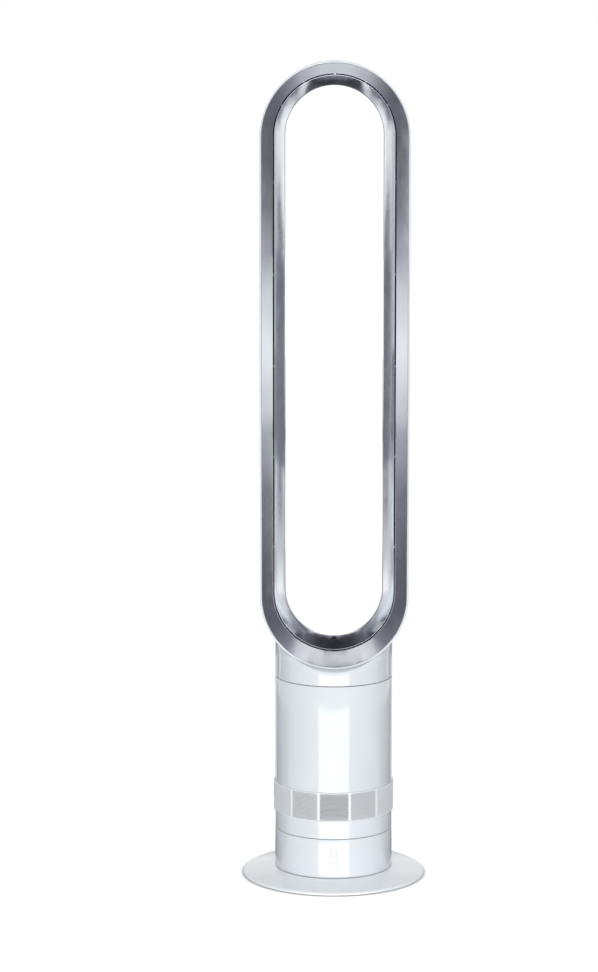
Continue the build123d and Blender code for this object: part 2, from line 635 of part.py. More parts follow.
def gear_outline(teeth, first_tooth):
    """Points of a spur gear with involute flanks, one tooth centred on the first angle."""
    pitch = GEAR_MODULE * teeth / 2
    base = pitch * cos(PRESSURE_ANGLE)
    root = pitch - 1.25 * GEAR_MODULE
    tip = pitch + 0.9 * GEAR_MODULE
    half_at_pitch = (pi * GEAR_MODULE - BACKLASH) / 4 / pitch
    start = max(base, root)
    radii = [start + (tip - start) * step / 4 for step in range(5)]
    flank = []
    for radius in radii:
        spread = half_at_pitch + involute(PRESSURE_ANGLE) - involute(acos(min(1.0, base / radius)))
        flank.append((radius, spread))
    flank.insert(0, (root - 0.01, flank[0][1]))
    outline = []
    for tooth in range(teeth):
        middle = radians(first_tooth) + 2 * pi * tooth / teeth
        outline += [(r * cos(middle - s), r * sin(middle - s)) for r, s in flank]
        outline += [(r * cos(middle + s), r * sin(middle + s)) for r, s in reversed(flank)]
    return outline


# Gear under the turntable: a tooth points at the pinion.
with BuildPart() as oscillation_gear:
    with BuildSketch(Plane.XY.offset(gear_low)) as gear_face:
        with BuildLine():
            Polyline(*gear_outline(GEAR_TEETH, 90), close=True)
        make_face()
        Circle(SPINDLE_RADIUS + RUNNING_GAP + SLEEVE_WALL + FIT_GAP, mode=Mode.SUBTRACT)
    extrude(gear_face.sketch, amount=GEAR_HEIGHT)
save(oscillation_gear, "oscillation_gear")

# Pinion on the stepper's shaft: a space between two teeth points at the gear.
pinion_low = deck_top + TURNING_GAP
with BuildPart() as oscillation_pinion:
    with BuildSketch(Plane.XY.offset(pinion_low)) as pinion_face:
        with BuildLine():
            Polyline(*gear_outline(PINION_TEETH, -90 + 180 / PINION_TEETH), close=True)
        make_face()
        Circle(STEPPER_SHAFT_RADIUS, mode=Mode.SUBTRACT)
    extrude(pinion_face.sketch.moved(Location((0, gear_distance, 0))), amount=PINION_HEIGHT)
save(oscillation_pinion, "oscillation_pinion")

with BuildPart() as stepper_shaft:
    shaft_low = socket_low + LOOSE_GAP
    posts([stepper_place], STEPPER_SHAFT_RADIUS, shaft_low, pinion_low + PINION_HEIGHT)
save(stepper_shaft, "stepper_shaft")

# ================= Turning column =================

turntable_screw_places = circle_points(TURNTABLE_SCREWS, BODY_RADIUS - TURNTABLE_SCREW_INSET, 30)
column_ledge_top = column_low + COLUMN_LEDGE_HEIGHT

# Turntable: a disc on the glide ring, with a sleeve that turns round the spindle.
with BuildPart() as turntable:
    sleeve_bore = SPINDLE_RADIUS + RUNNING_GAP
    disc(turntable_radius, turntable_low, column_low)
    disc(sleeve_bore + SLEEVE_WALL, gear_low, sleeve_top)
    disc(sleeve_bore, gear_low, sleeve_top, mode=Mode.SUBTRACT)
    posts(turntable_screw_places, SCREW_RADIUS, turntable_low, column_low, Mode.SUBTRACT)
save(turntable, "turntable")

with BuildPart() as turntable_screws:
    screws(turntable_screw_places, column_ledge_top, TURNTABLE_SCREW_LENGTH, up=False)
save(turntable_screws, "turntable_screws")

# Lower body ring: screwed to the turntable, with a spigot inside the intake band.
with BuildPart() as lower_body_ring:
    disc(BODY_RADIUS, column_low, lower_ring_top, body_inner)
    disc(body_inner + BODY_WALL / 4, column_low, column_ledge_top, body_inner - COLUMN_LEDGE_WIDTH)
    spigot_low = lower_ring_top - 2 * SPIGOT_REACH
    disc(spigot_outer, spigot_low, INTAKE_LOW + SPIGOT_REACH, spigot_inner)
    posts(turntable_screw_places, SCREW_HOLE, column_low, column_ledge_top, Mode.SUBTRACT)
save(lower_body_ring, "lower_body_ring")

# Intake band: twelve panels of slots, each cut straight along its own outward direction.
with BuildPart() as intake_grille:
    disc(grille_outer, INTAKE_LOW, INTAKE_HIGH, grille_inner)
    panel_angle = 360 / GRILLE_PANELS
    field_width = 2 * grille_inner * sin(radians(panel_angle / 2)) - GRILLE_POST
    field_height = INTAKE_HIGH - INTAKE_LOW - 2 * GRILLE_BORDER
    column_pitch = (field_width + GRILLE_BAR) / GRILLE_COLUMNS
    row_pitch = (field_height + GRILLE_BAR) / GRILLE_ROWS
    intake_middle = (INTAKE_LOW + INTAKE_HIGH) / 2
    cut_start = (grille_inner - FIT_GAP) * cos(radians(panel_angle / 2))
    panel_planes = []
    for panel in range(GRILLE_PANELS):
        angle = radians(panel * panel_angle - 90)
        outward = (cos(angle), sin(angle), 0)
        sideways = (-sin(angle), cos(angle), 0)
        start = (cut_start * cos(angle), cut_start * sin(angle), intake_middle)
        panel_planes.append(Plane(origin=start, x_dir=sideways, z_dir=outward))
    for plane in panel_planes:
        with BuildSketch(plane) as slots:
            with GridLocations(column_pitch, row_pitch, GRILLE_COLUMNS, GRILLE_ROWS):
                Rectangle(column_pitch - GRILLE_BAR, row_pitch - GRILLE_BAR)
        extrude(slots.sketch, amount=grille_outer - cut_start, mode=Mode.SUBTRACT)
save(intake_grille, "intake_grille")

# Main body shell: the tall white cylinder, with a shelf that carries the air unit.
with BuildPart() as main_body_shell:
    disc(BODY_RADIUS, shell_low, shell_top, body_inner)
    disc(spigot_outer, INTAKE_HIGH - SPIGOT_REACH, shell_low + 2 * SPIGOT_REACH, spigot_inner)
    disc(body_inner + BODY_WALL / 4, shelf_low, shelf_top, body_inner - SHELF_WIDTH)
save(main_body_shell, "main_body_shell")

# ================= Air unit =================

with BuildPart() as vibration_ring:
    disc(flange_radius, shelf_top, flange_low, body_inner - SHELF_WIDTH)
save(vibration_ring, "vibration_ring")

# Inlet bellmouth: a flange, a rounded mouth and a short neck.
with BuildPart() as inlet_bellmouth:
    mouth_outer = INLET_RADIUS + MOUTH_RADIUS
    with BuildSketch(Plane.XZ) as section:
        with BuildLine():
            RadiusArc((mouth_outer, flange_low), (INLET_RADIUS, flange_low + MOUTH_RADIUS), MOUTH_RADIUS)
            Polyline(
                (INLET_RADIUS, flange_low + MOUTH_RADIUS),
                (INLET_RADIUS, neck_top),
                (neck_outer, neck_top),
                (neck_outer, flange_low + MOUTH_RADIUS),
            )
            RadiusArc(
                (neck_outer, flange_low + MOUTH_RADIUS),
                (mouth_outer, flange_top),
                -(MOUTH_RADIUS - FLANGE_THICKNESS),
            )
            Polyline(
                (mouth_outer, flange_top),
                (flange_radius, flange_top),
                (flange_radius, flange_low),
                (mouth_outer, flange_low),
            )
        make_face()
    revolve(section.sketch, axis=Axis.Z)
save(inlet_bellmouth, "inlet_bellmouth")

# Impeller housing: an outer tube on the flange and the cone that the blades run in.
with BuildPart() as impeller_housing:
    housing_outer = housing_radius + HOUSING_WALL
    bucket_flange_top = bucket_low + BUCKET_WALL
    disc(housing_outer, flange_top, HOUSING_TOP, housing_radius)
    turned(
        [
            (shroud_inlet, shroud_low),
            (housing_radius + FIT_GAP, shroud_top),
            (housing_radius + FIT_GAP, shroud_top - 2 * SHROUD_WALL),
            (shroud_inlet + SHROUD_WALL, shroud_low),
        ]
    )
save(impeller_housing, "impeller_housing")

with BuildPart() as foam_sleeve:
    disc(flange_radius, flange_top, HOUSING_TOP - FOAM_TOP_MARGIN, housing_outer + FOAM_GAP)
save(foam_sleeve, "foam_sleeve")


def shroud_radius(height):
    """Inner radius of the shroud cone at a height."""
    share = (height - shroud_low) / SHROUD_HEIGHT
    return shroud_inlet + share * (housing_radius - shroud_inlet)


# One blade in plan: an arc from the hub's nose to the rim, leaning back.
blade_tip_low = shroud_radius(impeller_low) - TIP_GAP
blade_tip_high = shroud_radius(impeller_top) - TIP_GAP
blade_reach = blade_tip_high + TIP_GAP
with BuildSketch() as blade:
    with BuildLine():
        middle_reach = blade_reach * BLADE_MID_REACH
        ThreePointArc(
            (HUB_NOSE - HUB_WALL, 0),
            (middle_reach * cos(BLADE_MID_LEAN), -middle_reach * sin(BLADE_MID_LEAN)),
            (blade_reach * cos(BLADE_LEAN), -blade_reach * sin(BLADE_LEAN)),
        )
    trace(line_width=BLADE_THICKNESS)

# Impeller: swept blades between a conical hub and the shroud, with a boss for the shaft.
with BuildPart() as impeller:
    with BuildSketch(Plane.XY.offset(impeller_low)) as blades:
        with PolarLocations(0, BLADE_COUNT):
            add(blade.sketch)
    extrude(blades.sketch, amount=IMPELLER_HEIGHT)
    turned(
        [
            (HUB_NOSE - HUB_WALL / 2, impeller_low),
            (blade_tip_low, impeller_low),
            (blade_tip_high, impeller_top),
            (HUB_RADIUS - HUB_WALL / 2, impeller_top),
        ],
        Mode.INTERSECT,
    )
    turned(
        [
            (HUB_NOSE, impeller_low),
            (HUB_RADIUS, impeller_top),
            (HUB_RADIUS - HUB_WALL, impeller_top),
            (HUB_NOSE - HUB_WALL, impeller_low + HUB_WALL),
            (SHAFT_RADIUS, impeller_low + HUB_WALL),
            (SHAFT_RADIUS, impeller_low),
        ]
    )
    disc(3 * SHAFT_RADIUS, impeller_low, impeller_top, SHAFT_RADIUS)
save(impeller, "impeller")

with BuildPart() as impeller_nut:
    with BuildSketch(Plane.XY.offset(impeller_low - NUT_HEIGHT)) as nut_face:
        RegularPolygon(NUT_FLATS / 2, 6, major_radius=False)
        Circle(SHAFT_RADIUS, mode=Mode.SUBTRACT)
    extrude(nut_face.sketch, amount=NUT_HEIGHT)
save(impeller_nut, "impeller_nut")

with BuildPart() as motor_shaft:
    disc(SHAFT_RADIUS, impeller_low - NUT_HEIGHT - 1, can_top)
save(motor_shaft, "motor_shaft")

with BuildPart() as rotor_magnet:
    disc(ROTOR_RADIUS, rotor_low, rotor_top, SHAFT_RADIUS)
save(rotor_magnet, "rotor_magnet")

# Motor bucket: the closed cup in the middle of the air stream.
with BuildPart() as motor_bucket:
    bucket_inner = BUCKET_RADIUS - BUCKET_WALL
    disc(BUCKET_RADIUS, bucket_low, bucket_top)
    disc(bucket_inner, bucket_low + BUCKET_WALL, bucket_top, mode=Mode.SUBTRACT)
    disc(SHAFT_RADIUS + 1, bucket_low, bucket_low + BUCKET_WALL, mode=Mode.SUBTRACT)
    disc(BUCKET_RADIUS + VANE_RING, bucket_low, bucket_flange_top, bucket_inner)
save(motor_bucket, "motor_bucket")

# Diffuser: curved vanes between an inner ring on the bucket and an outer ring in the housing.
with BuildPart() as diffuser_vanes:
    vane_low = bucket_flange_top
    vane_top = vane_low + VANE_HEIGHT
    vane_inner = BUCKET_RADIUS + FIT_GAP
    vane_outer = housing_radius - FIT_GAP
    vane_length = (vane_outer - vane_inner - VANE_RING) / cos(radians(VANE_LEAN))
    with BuildSketch(Plane.XY.offset(vane_low)) as vanes:
        with PolarLocations((vane_inner + vane_outer) / 2, VANE_COUNT):
            Rectangle(vane_length, VANE_THICKNESS, rotation=VANE_LEAN)
    extrude(vanes.sketch, amount=VANE_HEIGHT)
    disc(vane_inner + VANE_RING, vane_low, vane_top, vane_inner)
    disc(vane_outer, vane_low, vane_top, vane_outer - VANE_RING)
save(diffuser_vanes, "diffuser_vanes")

# Two rubber rings hold the motor in the bucket; the lower one has a lip under the can.
with BuildPart() as motor_isolators:
    ring_bore = CAN_RADIUS + FIT_GAP
    ring_outer = bucket_inner - FIT_GAP
    isolator_low = bucket_low + BUCKET_WALL
    disc(ring_outer, isolator_low, can_low, CAN_RADIUS - ISOLATOR_LIP_WIDTH)
    disc(ring_outer, can_low, isolator_low + ISOLATOR_HEIGHT, ring_bore)
    disc(ring_outer, can_top - ISOLATOR_HEIGHT, can_top - ISOLATOR_LIP, ring_bore)
save(motor_isolators, "motor_isolators")

# Motor can with the lower bearing's seat.
with BuildPart() as motor_can:
    seat_outer = BEARING_RADIUS + BEARING_SEAT
    disc(CAN_RADIUS, can_low, can_top)
    disc(CAN_RADIUS - CAN_WALL, can_low + CAN_FLOOR, can_top, mode=Mode.SUBTRACT)
    disc(seat_outer, bearing_low, bearing_low + BEARING_HEIGHT, BEARING_RADIUS)
    disc(SHAFT_RADIUS + 1, can_low, bearing_low, mode=Mode.SUBTRACT)
save(motor_can, "motor_can")

# End bell with the upper bearing's seat and the standoffs of the drive board.
drive_standoffs = circle_points(3, DRIVE_BOARD_RADIUS - 2 * BOSS_RADIUS, 90)
with BuildPart() as motor_end_bell:
    disc(CAN_RADIUS, can_top, bell_top)
    disc(seat_outer, bearing_high, can_top, BEARING_RADIUS)
    posts(drive_standoffs, STANDOFF_RADIUS, bell_top, drive_board_low)
save(motor_end_bell, "motor_end_bell")

# Two ball bearings on the motor shaft.
with BuildPart() as motor_bearings:
    for low in (bearing_low, bearing_high):
        outer = BEARING_RADIUS - FIT_GAP / 2
        disc(outer, low, low + BEARING_HEIGHT, SHAFT_RADIUS + RUNNING_GAP)
save(motor_bearings, "motor_bearings")

# Stator: a steel yoke with teeth that end close to the rotor.
with BuildPart() as stator_core:
    stator_outer = CAN_RADIUS - CAN_WALL - FIT_GAP
    tooth_inner = ROTOR_RADIUS + ROTOR_GAP
    yoke_inner = stator_outer - STATOR_YOKE
    disc(stator_outer, rotor_low, rotor_top, yoke_inner)
    tooth_length = yoke_inner + STATOR_YOKE / 2 - tooth_inner
    with BuildSketch(Plane.XY.offset(rotor_low)) as teeth:
        with PolarLocations(tooth_inner + tooth_length / 2, STATOR_TEETH):
            Rectangle(tooth_length, TOOTH_WIDTH)
    extrude(teeth.sketch, amount=rotor_top - rotor_low)
save(stator_core, "stator_core")

# Coils: one copper winding round each stator tooth.
with BuildPart() as stator_windings:
    coil_inner = tooth_inner + COIL_MARGIN
    coil_width = TOOTH_WIDTH + 2 * COIL_WALL
    coil_outer = sqrt(yoke_inner**2 - (coil_width / 2) ** 2) - FIT_GAP
    coil_length = coil_outer - coil_inner
    hole_width = TOOTH_WIDTH + 2 * FIT_GAP
    with BuildSketch(Plane.XY.offset(rotor_low - COIL_WALL)) as coils:
        with PolarLocations(coil_inner + coil_length / 2, STATOR_TEETH):
            Rectangle(coil_length, coil_width)
    extrude(coils.sketch, amount=rotor_top - rotor_low + 2 * COIL_WALL)
    with BuildSketch(Plane.XY.offset(rotor_low - FIT_GAP)) as coil_holes:
        with PolarLocations(coil_inner + coil_length / 2, STATOR_TEETH):
            Rectangle(coil_length, hole_width)
    extrude(coil_holes.sketch, amount=rotor_top - rotor_low + 2 * FIT_GAP, mode=Mode.SUBTRACT)
save(stator_windings, "stator_windings")

with BuildPart() as motor_drive_board:
    disc(DRIVE_BOARD_RADIUS, drive_board_low, drive_board_low + BOARD_THICKNESS, DRIVE_BOARD_BORE)
save(motor_drive_board, "motor_drive_board")

DRIVE_CHIPS = 6
CHIP_SIZE = 7.0
CHIP_HEIGHT = 3.0
with BuildPart() as drive_board_parts:
    with BuildSketch(Plane.XY.offset(drive_board_low + BOARD_THICKNESS)) as chips:
        with PolarLocations((DRIVE_BOARD_RADIUS + DRIVE_BOARD_BORE) / 2, DRIVE_CHIPS):
            Rectangle(CHIP_SIZE, CHIP_SIZE)
    extrude(chips.sketch, amount=CHIP_HEIGHT)
save(drive_board_parts, "drive_board_parts")



def cap_arc(radius, height):
    """One side of a spherical cap on the bucket's rim, from the rim to the axis."""
    sphere = (radius**2 + height**2) / (2 * height)
    centre = bucket_top + height - sphere
    halfway = atan2(radius, sphere - height) / 2
    middle = (sphere * sin(halfway), centre + sphere * cos(halfway))
    ThreePointArc((radius, bucket_top), middle, (0, bucket_top + height))


# Dome over the bucket, which lets the two air streams close smoothly.
with BuildPart() as motor_dome:
    with BuildSketch(Plane.XZ) as dome_wall:
        with BuildLine():
            cap_arc(BUCKET_RADIUS, DOME_HEIGHT)
            cap_arc(BUCKET_RADIUS - DOME_WALL, DOME_HEIGHT - DOME_WALL)
            Line((BUCKET_RADIUS - DOME_WALL, bucket_top), (BUCKET_RADIUS, bucket_top))
            Line((0, bucket_top + DOME_HEIGHT - DOME_WALL), (0, bucket_top + DOME_HEIGHT))
        make_face()
    revolve(dome_wall.sketch, axis=Axis.Z)
save(motor_dome, "motor_dome")

with BuildPart() as duct_seal:
    seal_outer = housing_outer + BODY_WALL
    disc(seal_outer, HOUSING_TOP, duct_low, housing_radius)
save(duct_seal, "duct_seal")

# ================= Collar and loop =================

# Air duct: a funnel from the housing to a tube that ends flush inside the loop.
with BuildPart() as air_duct:
    tube_outer = DUCT_RADIUS - LOOSE_GAP
    tube_inner = tube_outer - DUCT_WALL
    funnel_top = duct_flange_top + FUNNEL_HEIGHT
    turned(
        [
            (seal_outer, duct_low),
            (seal_outer, duct_flange_top),
            (housing_radius, duct_flange_top),
            (tube_outer, funnel_top),
            (tube_outer, loop_low_centre),
            (tube_inner, loop_low_centre),
            (tube_inner, funnel_top),
            (housing_radius - DUCT_WALL, duct_low),
        ]
    )
    cylinder_along_y(loop_inner - LOOSE_GAP)
save(air_duct, "air_duct")

loop_screw_places = [(side * (BODY_RADIUS - LOOP_SCREW_INSET), y) for side in (-1, 1) for y in LOOP_SCREW_Y]
collar_boss_low = LOOP_LOW + 4.0
loop_boss_top = LOOP_LOW + LOOP_BOSS_TOP

# Collar: the body's cylinder carried up to the loop and cut to the loop's lower turn.
with BuildPart() as collar:
    collar_cut = LOOP_HALF_WIDTH + COLLAR_GAP
    disc(BODY_RADIUS, collar_low, loop_low_centre)
    cylinder_along_y(collar_cut)
    with BuildPart(mode=Mode.PRIVATE) as collar_hollow:
        disc(body_inner, collar_low, loop_low_centre)
        cylinder_along_y(collar_cut + COLLAR_TOP_WALL)
    add(collar_hollow.part, mode=Mode.SUBTRACT)
    with BuildPart(mode=Mode.PRIVATE) as collar_bosses:
        posts(loop_screw_places, BOSS_RADIUS, collar_boss_low, loop_low_centre)
        cylinder_along_y(collar_cut + COLLAR_TOP_WALL / 2)
    add(collar_bosses.part)
    spigot_radius = body_inner - LOOSE_GAP
    disc(spigot_radius, collar_low - COLLAR_SPIGOT, collar_low + BODY_WALL, spigot_radius - SPIGOT_WALL)
    disc(body_inner + BODY_WALL / 4, collar_low, collar_low + BODY_WALL, spigot_radius - SPIGOT_WALL)
    disc(DUCT_RADIUS, collar_low, loop_low_centre, mode=Mode.SUBTRACT)
    posts(loop_screw_places, SCREW_HOLE, collar_boss_low, loop_low_centre, Mode.SUBTRACT)
save(collar, "collar")

with BuildPart() as loop_screws:
    screws(loop_screw_places, collar_boss_low, loop_boss_top - collar_boss_low - 1, up=True)
save(loop_screws, "loop_screws")


def carried_round(draw, mode=Mode.ADD):
    """Carries one (radius, depth) outline round the loop: two half turns and two straight legs."""
    for height, turn in ((loop_top_centre, -1), (loop_low_centre, 1)):
        with BuildSketch(Plane.XY.offset(height)) as outline:
            with BuildLine():
                draw()
            make_face()
        revolve(outline.sketch, axis=Axis((0, 0, height), (0, turn, 0)), revolution_arc=180, mode=mode)
    legs = extrude(outline.sketch, amount=loop_top_centre - loop_low_centre, mode=Mode.PRIVATE)
    add(legs, mode=mode)
    add(legs.mirror(Plane.YZ), mode=mode)


def shell_outline():
    """Outer casing: a rounded front lip, a straight flank and the outer half of the rounded back."""
    lip = LOOP_WALL / 2
    ThreePointArc(
        (loop_inner, loop_front + lip), (loop_inner + lip, loop_front), (LOOP_HALF_WIDTH, loop_front + lip)
    )
    Line((LOOP_HALF_WIDTH, loop_front + lip), (LOOP_HALF_WIDTH, back_centre))
    RadiusArc((LOOP_HALF_WIDTH, back_centre), (back_middle, LOOP_DEPTH / 2), -BACK_ROUND)
    Line((back_middle, LOOP_DEPTH / 2), (back_middle, LOOP_DEPTH / 2 - LOOP_WALL))
    RadiusArc((back_middle, LOOP_DEPTH / 2 - LOOP_WALL), (loop_inner, back_centre), BACK_ROUND - LOOP_WALL)
    Line((loop_inner, back_centre), (loop_inner, loop_front + lip))


def diffuser_point(radius):
    """Where the arc of the given radius about the diffuser's centre ends, at the rounded back."""
    return (diffuser_centre - radius * cos(diffuser_slope), throat_y + radius * sin(diffuser_slope))


def airfoil_outline():
    """Inner casing: half of the rounded back, the diffuser, the throat, and a cone up to the slot's lip."""
    seam = back_middle - FIT_GAP
    along = (sin(BELL_SLOPE), -cos(BELL_SLOPE))
    across = (BAND_WALL * cos(BELL_SLOPE), BAND_WALL * sin(BELL_SLOPE))
    inner_cone_end = (cone_end_r + across[0], cone_end_y + across[1])
    inner_throat = (THROAT_RADIUS + BAND_WALL, throat_y)
    taper_start = (
        lip_inner - LIP_TAPER * along[0] + across[0],
        slot_y - LIP_TAPER * along[1] + across[1],
    )
    outer_end = diffuser_point(diffuser_round)
    inner_end = diffuser_point(diffuser_round - BAND_WALL)
    Line((seam, LOOP_DEPTH / 2 - BAND_WALL), (seam, LOOP_DEPTH / 2))
    RadiusArc((seam, LOOP_DEPTH / 2), outer_end, -BACK_ROUND)
    RadiusArc(outer_end, (THROAT_RADIUS, throat_y), -diffuser_round)
    RadiusArc((THROAT_RADIUS, throat_y), (cone_end_r, cone_end_y), -BELL_ROUND)
    Line((cone_end_r, cone_end_y), (lip_inner, slot_y))
    Line((lip_inner, slot_y), (lip_outer, slot_y))
    Line((lip_outer, slot_y), taper_start)
    Line(taper_start, inner_cone_end)
    RadiusArc(inner_cone_end, inner_throat, BELL_ROUND - BAND_WALL)
    RadiusArc(inner_throat, inner_end, diffuser_round - BAND_WALL)
    RadiusArc(inner_end, (seam, LOOP_DEPTH / 2 - BAND_WALL), BACK_ROUND - BAND_WALL)


def behind_diffuser(depth):
    """Radius of the inner casing's hidden side at a depth behind the throat."""
    return diffuser_centre - sqrt((diffuser_round - BAND_WALL) ** 2 - (depth - throat_y) ** 2)


def flare_outline():
    """Front band: a slightly bulged flare from the front edge to the slot, then a curl into the duct."""
    outer = loop_inner - FIT_GAP
    edge_y = loop_front + FLARE_INSET
    seat_y = edge_y + FLARE_SEAT
    slope = atan2(outer - SLOT_RADIUS, slot_y - edge_y)
    middle = ((outer + SLOT_RADIUS) / 2 - FLARE_BULGE, (edge_y + slot_y) / 2)
    curl_middle = (SLOT_RADIUS + CURL_RISE / 4, slot_y + CURL_DEPTH / 2)
    curl_end = (SLOT_RADIUS + CURL_RISE, slot_y + CURL_DEPTH)
    curl_slope = atan2(CURL_RISE, CURL_DEPTH)
    across = (BAND_WALL * cos(slope), BAND_WALL * sin(slope))
    curl_across = (BAND_WALL * cos(curl_slope), BAND_WALL * sin(curl_slope))
    back_edge = (outer - BAND_WALL, seat_y)
    back_middle_point = (middle[0] + across[0], middle[1] + across[1])
    back_slot = (SLOT_RADIUS + BAND_WALL, slot_y)
    back_curl_middle = (curl_middle[0] + BAND_WALL, curl_middle[1] - curl_across[1] / 2)
    back_curl_end = (curl_end[0] + curl_across[0], curl_end[1] - curl_across[1])
    ThreePointArc((outer, edge_y), middle, (SLOT_RADIUS, slot_y))
    ThreePointArc((SLOT_RADIUS, slot_y), curl_middle, curl_end)
    Line(curl_end, back_curl_end)
    ThreePointArc(back_curl_end, back_curl_middle, back_slot)
    ThreePointArc(back_slot, back_middle_point, back_edge)
    Polyline(back_edge, (outer, seat_y), (outer, edge_y))


# Loop shell, with the air inlet in its lower turn and bosses for the collar's screws.
with BuildPart() as loop_shell:
    carried_round(shell_outline)
    with BuildPart(mode=Mode.PRIVATE) as loop_bosses:
        posts(loop_screw_places, BOSS_RADIUS, LOOP_LOW, loop_boss_top)
        cylinder_along_y(LOOP_HALF_WIDTH - LOOP_WALL / 2, Mode.INTERSECT)
    add(loop_bosses.part)
    disc(DUCT_RADIUS, LOOP_LOW - LOOP_WALL, loop_low_centre - THROAT_RADIUS, mode=Mode.SUBTRACT)
    posts(loop_screw_places, SCREW_RADIUS, LOOP_LOW, loop_boss_top - FIT_GAP, Mode.SUBTRACT)
save(loop_shell, "loop_shell")

with BuildPart() as loop_airfoil:
    carried_round(airfoil_outline)
save(loop_airfoil, "loop_airfoil")

with BuildPart() as loop_flare:
    carried_round(flare_outline)
save(loop_flare, "loop_flare")


def loop_places(spacing, turns):
    """Places round the loop as (centre height, angle in degrees), up both legs and over the top turn."""
    length = loop_top_centre - loop_low_centre
    count = int(length // spacing)
    first = loop_low_centre + (length - (count - 1) * spacing) / 2
    legs = [(first + i * spacing, angle) for i in range(count) for angle in (0, 180)]
    return legs + [(loop_top_centre, angle) for angle in turns]


def outward_plane(height, angle, radius, depth):
    """A plane square to the outward direction at one place of the loop."""
    outward = (cos(radians(angle)), 0, sin(radians(angle)))
    origin = (radius * outward[0], depth, height + radius * outward[2])
    return Plane(origin=origin, x_dir=(0, 1, 0), z_dir=outward)


# Posts across the duct, which hold the inner casing to the shell.
with BuildPart() as duct_posts:
    post_depth = throat_y + POST_RADIUS
    post_inner = behind_diffuser(post_depth + POST_RADIUS) + FIT_GAP
    post_length = loop_inner - post_inner - 2 * FIT_GAP
    for height, angle in loop_places(POST_SPACING, (40, 140)):
        with BuildSketch(outward_plane(height, angle, post_inner, post_depth)) as post:
            Circle(POST_RADIUS)
        extrude(post.sketch, amount=post_length)
save(duct_posts, "duct_posts")

# Spacers that keep the air slot's width.
with BuildPart() as slot_spacers:
    spacer_length = SLOT_GAP - 2 * FIT_GAP
    spacer_depth = slot_y + SPACER_DEPTH / 2
    spacing = (loop_top_centre - loop_low_centre) / SPACER_COUNT_PER_LEG
    for height, angle in loop_places(spacing, (30, 60, 90, 120, 150)):
        with BuildSketch(outward_plane(height, angle, lip_outer + FIT_GAP, spacer_depth)) as spacer:
            Rectangle(SPACER_DEPTH, SPACER_WIDTH)
        extrude(spacer.sketch, amount=spacer_length)
save(slot_spacers, "slot_spacers")

# Flow splitter: a wedge under the inner casing that parts the air to both legs.
with BuildPart() as flow_splitter:
    splitter_seat = behind_diffuser(throat_y + SPLITTER_DEPTH) + FIT_GAP
    crest = loop_low_centre - splitter_seat
    with BuildSketch(Plane.XZ.offset(-throat_y)) as wedge:
        with BuildLine():
            Polyline(
                (0, crest - SPLITTER_DROP),
                (SPLITTER_HALF_WIDTH, crest + BAND_WALL),
                (-SPLITTER_HALF_WIDTH, crest + BAND_WALL),
                close=True,
            )
        make_face()
        with Locations((0, loop_low_centre)):
            Circle(splitter_seat, mode=Mode.SUBTRACT)
    extrude(wedge.sketch, amount=-SPLITTER_DEPTH)
save(flow_splitter, "flow_splitter")

# Magnet holder under the top of the shell, for the remote control that lies on the loop.
holder_front = throat_y
holder_depth = back_centre - holder_front - HOLDER_MARGIN
holder_low = HEIGHT - LOOP_WALL - HOLDER_DROP
magnet_low = holder_low + HOLDER_DROP - 2 * MAGNET_HEIGHT
magnet_places = [(side * MAGNET_OFFSET, holder_front + holder_depth / 2) for side in (-1, 1)]
with BuildPart() as magnet_holder:
    with BuildSketch(Plane.XZ.offset(-holder_front)) as holder_face:
        with Locations((0, loop_top_centre)):
            Circle(loop_inner - FIT_GAP)
        with Locations((0, holder_low + HOLDER_HALF_WIDTH)):
            Rectangle(2 * HOLDER_HALF_WIDTH, 2 * HOLDER_HALF_WIDTH, mode=Mode.INTERSECT)
    extrude(holder_face.sketch, amount=-holder_depth)
    posts(magnet_places, MAGNET_RADIUS + FIT_GAP, magnet_low, HEIGHT, Mode.SUBTRACT)
save(magnet_holder, "magnet_holder")

with BuildPart() as remote_magnets:
    posts(magnet_places, MAGNET_RADIUS, magnet_low, magnet_low + MAGNET_HEIGHT)
save(remote_magnets, "remote_magnets")
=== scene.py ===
import json
from math import asin, atan2, cos, pi, radians, sin, sqrt, tan

import bmesh
import bpy
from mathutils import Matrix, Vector


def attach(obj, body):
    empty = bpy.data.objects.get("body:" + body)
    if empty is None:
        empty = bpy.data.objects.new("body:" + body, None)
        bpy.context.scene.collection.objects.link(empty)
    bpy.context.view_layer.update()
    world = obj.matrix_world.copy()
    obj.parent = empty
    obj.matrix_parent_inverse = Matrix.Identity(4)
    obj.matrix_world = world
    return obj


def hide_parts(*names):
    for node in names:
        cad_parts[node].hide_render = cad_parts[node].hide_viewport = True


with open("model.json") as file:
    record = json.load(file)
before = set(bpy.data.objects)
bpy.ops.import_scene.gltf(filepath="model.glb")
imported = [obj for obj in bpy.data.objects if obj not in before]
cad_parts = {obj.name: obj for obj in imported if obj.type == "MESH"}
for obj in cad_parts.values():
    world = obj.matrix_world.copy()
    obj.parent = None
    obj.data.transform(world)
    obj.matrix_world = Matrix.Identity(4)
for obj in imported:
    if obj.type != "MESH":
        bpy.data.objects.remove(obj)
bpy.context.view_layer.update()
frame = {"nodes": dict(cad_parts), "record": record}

# A bladeless tower fan, in the frame of the CAD model: +Z up, the front faces -Y. Lengths below are
# millimetres, turned into metres when a mesh is made, and angles are degrees.
MM = 0.001

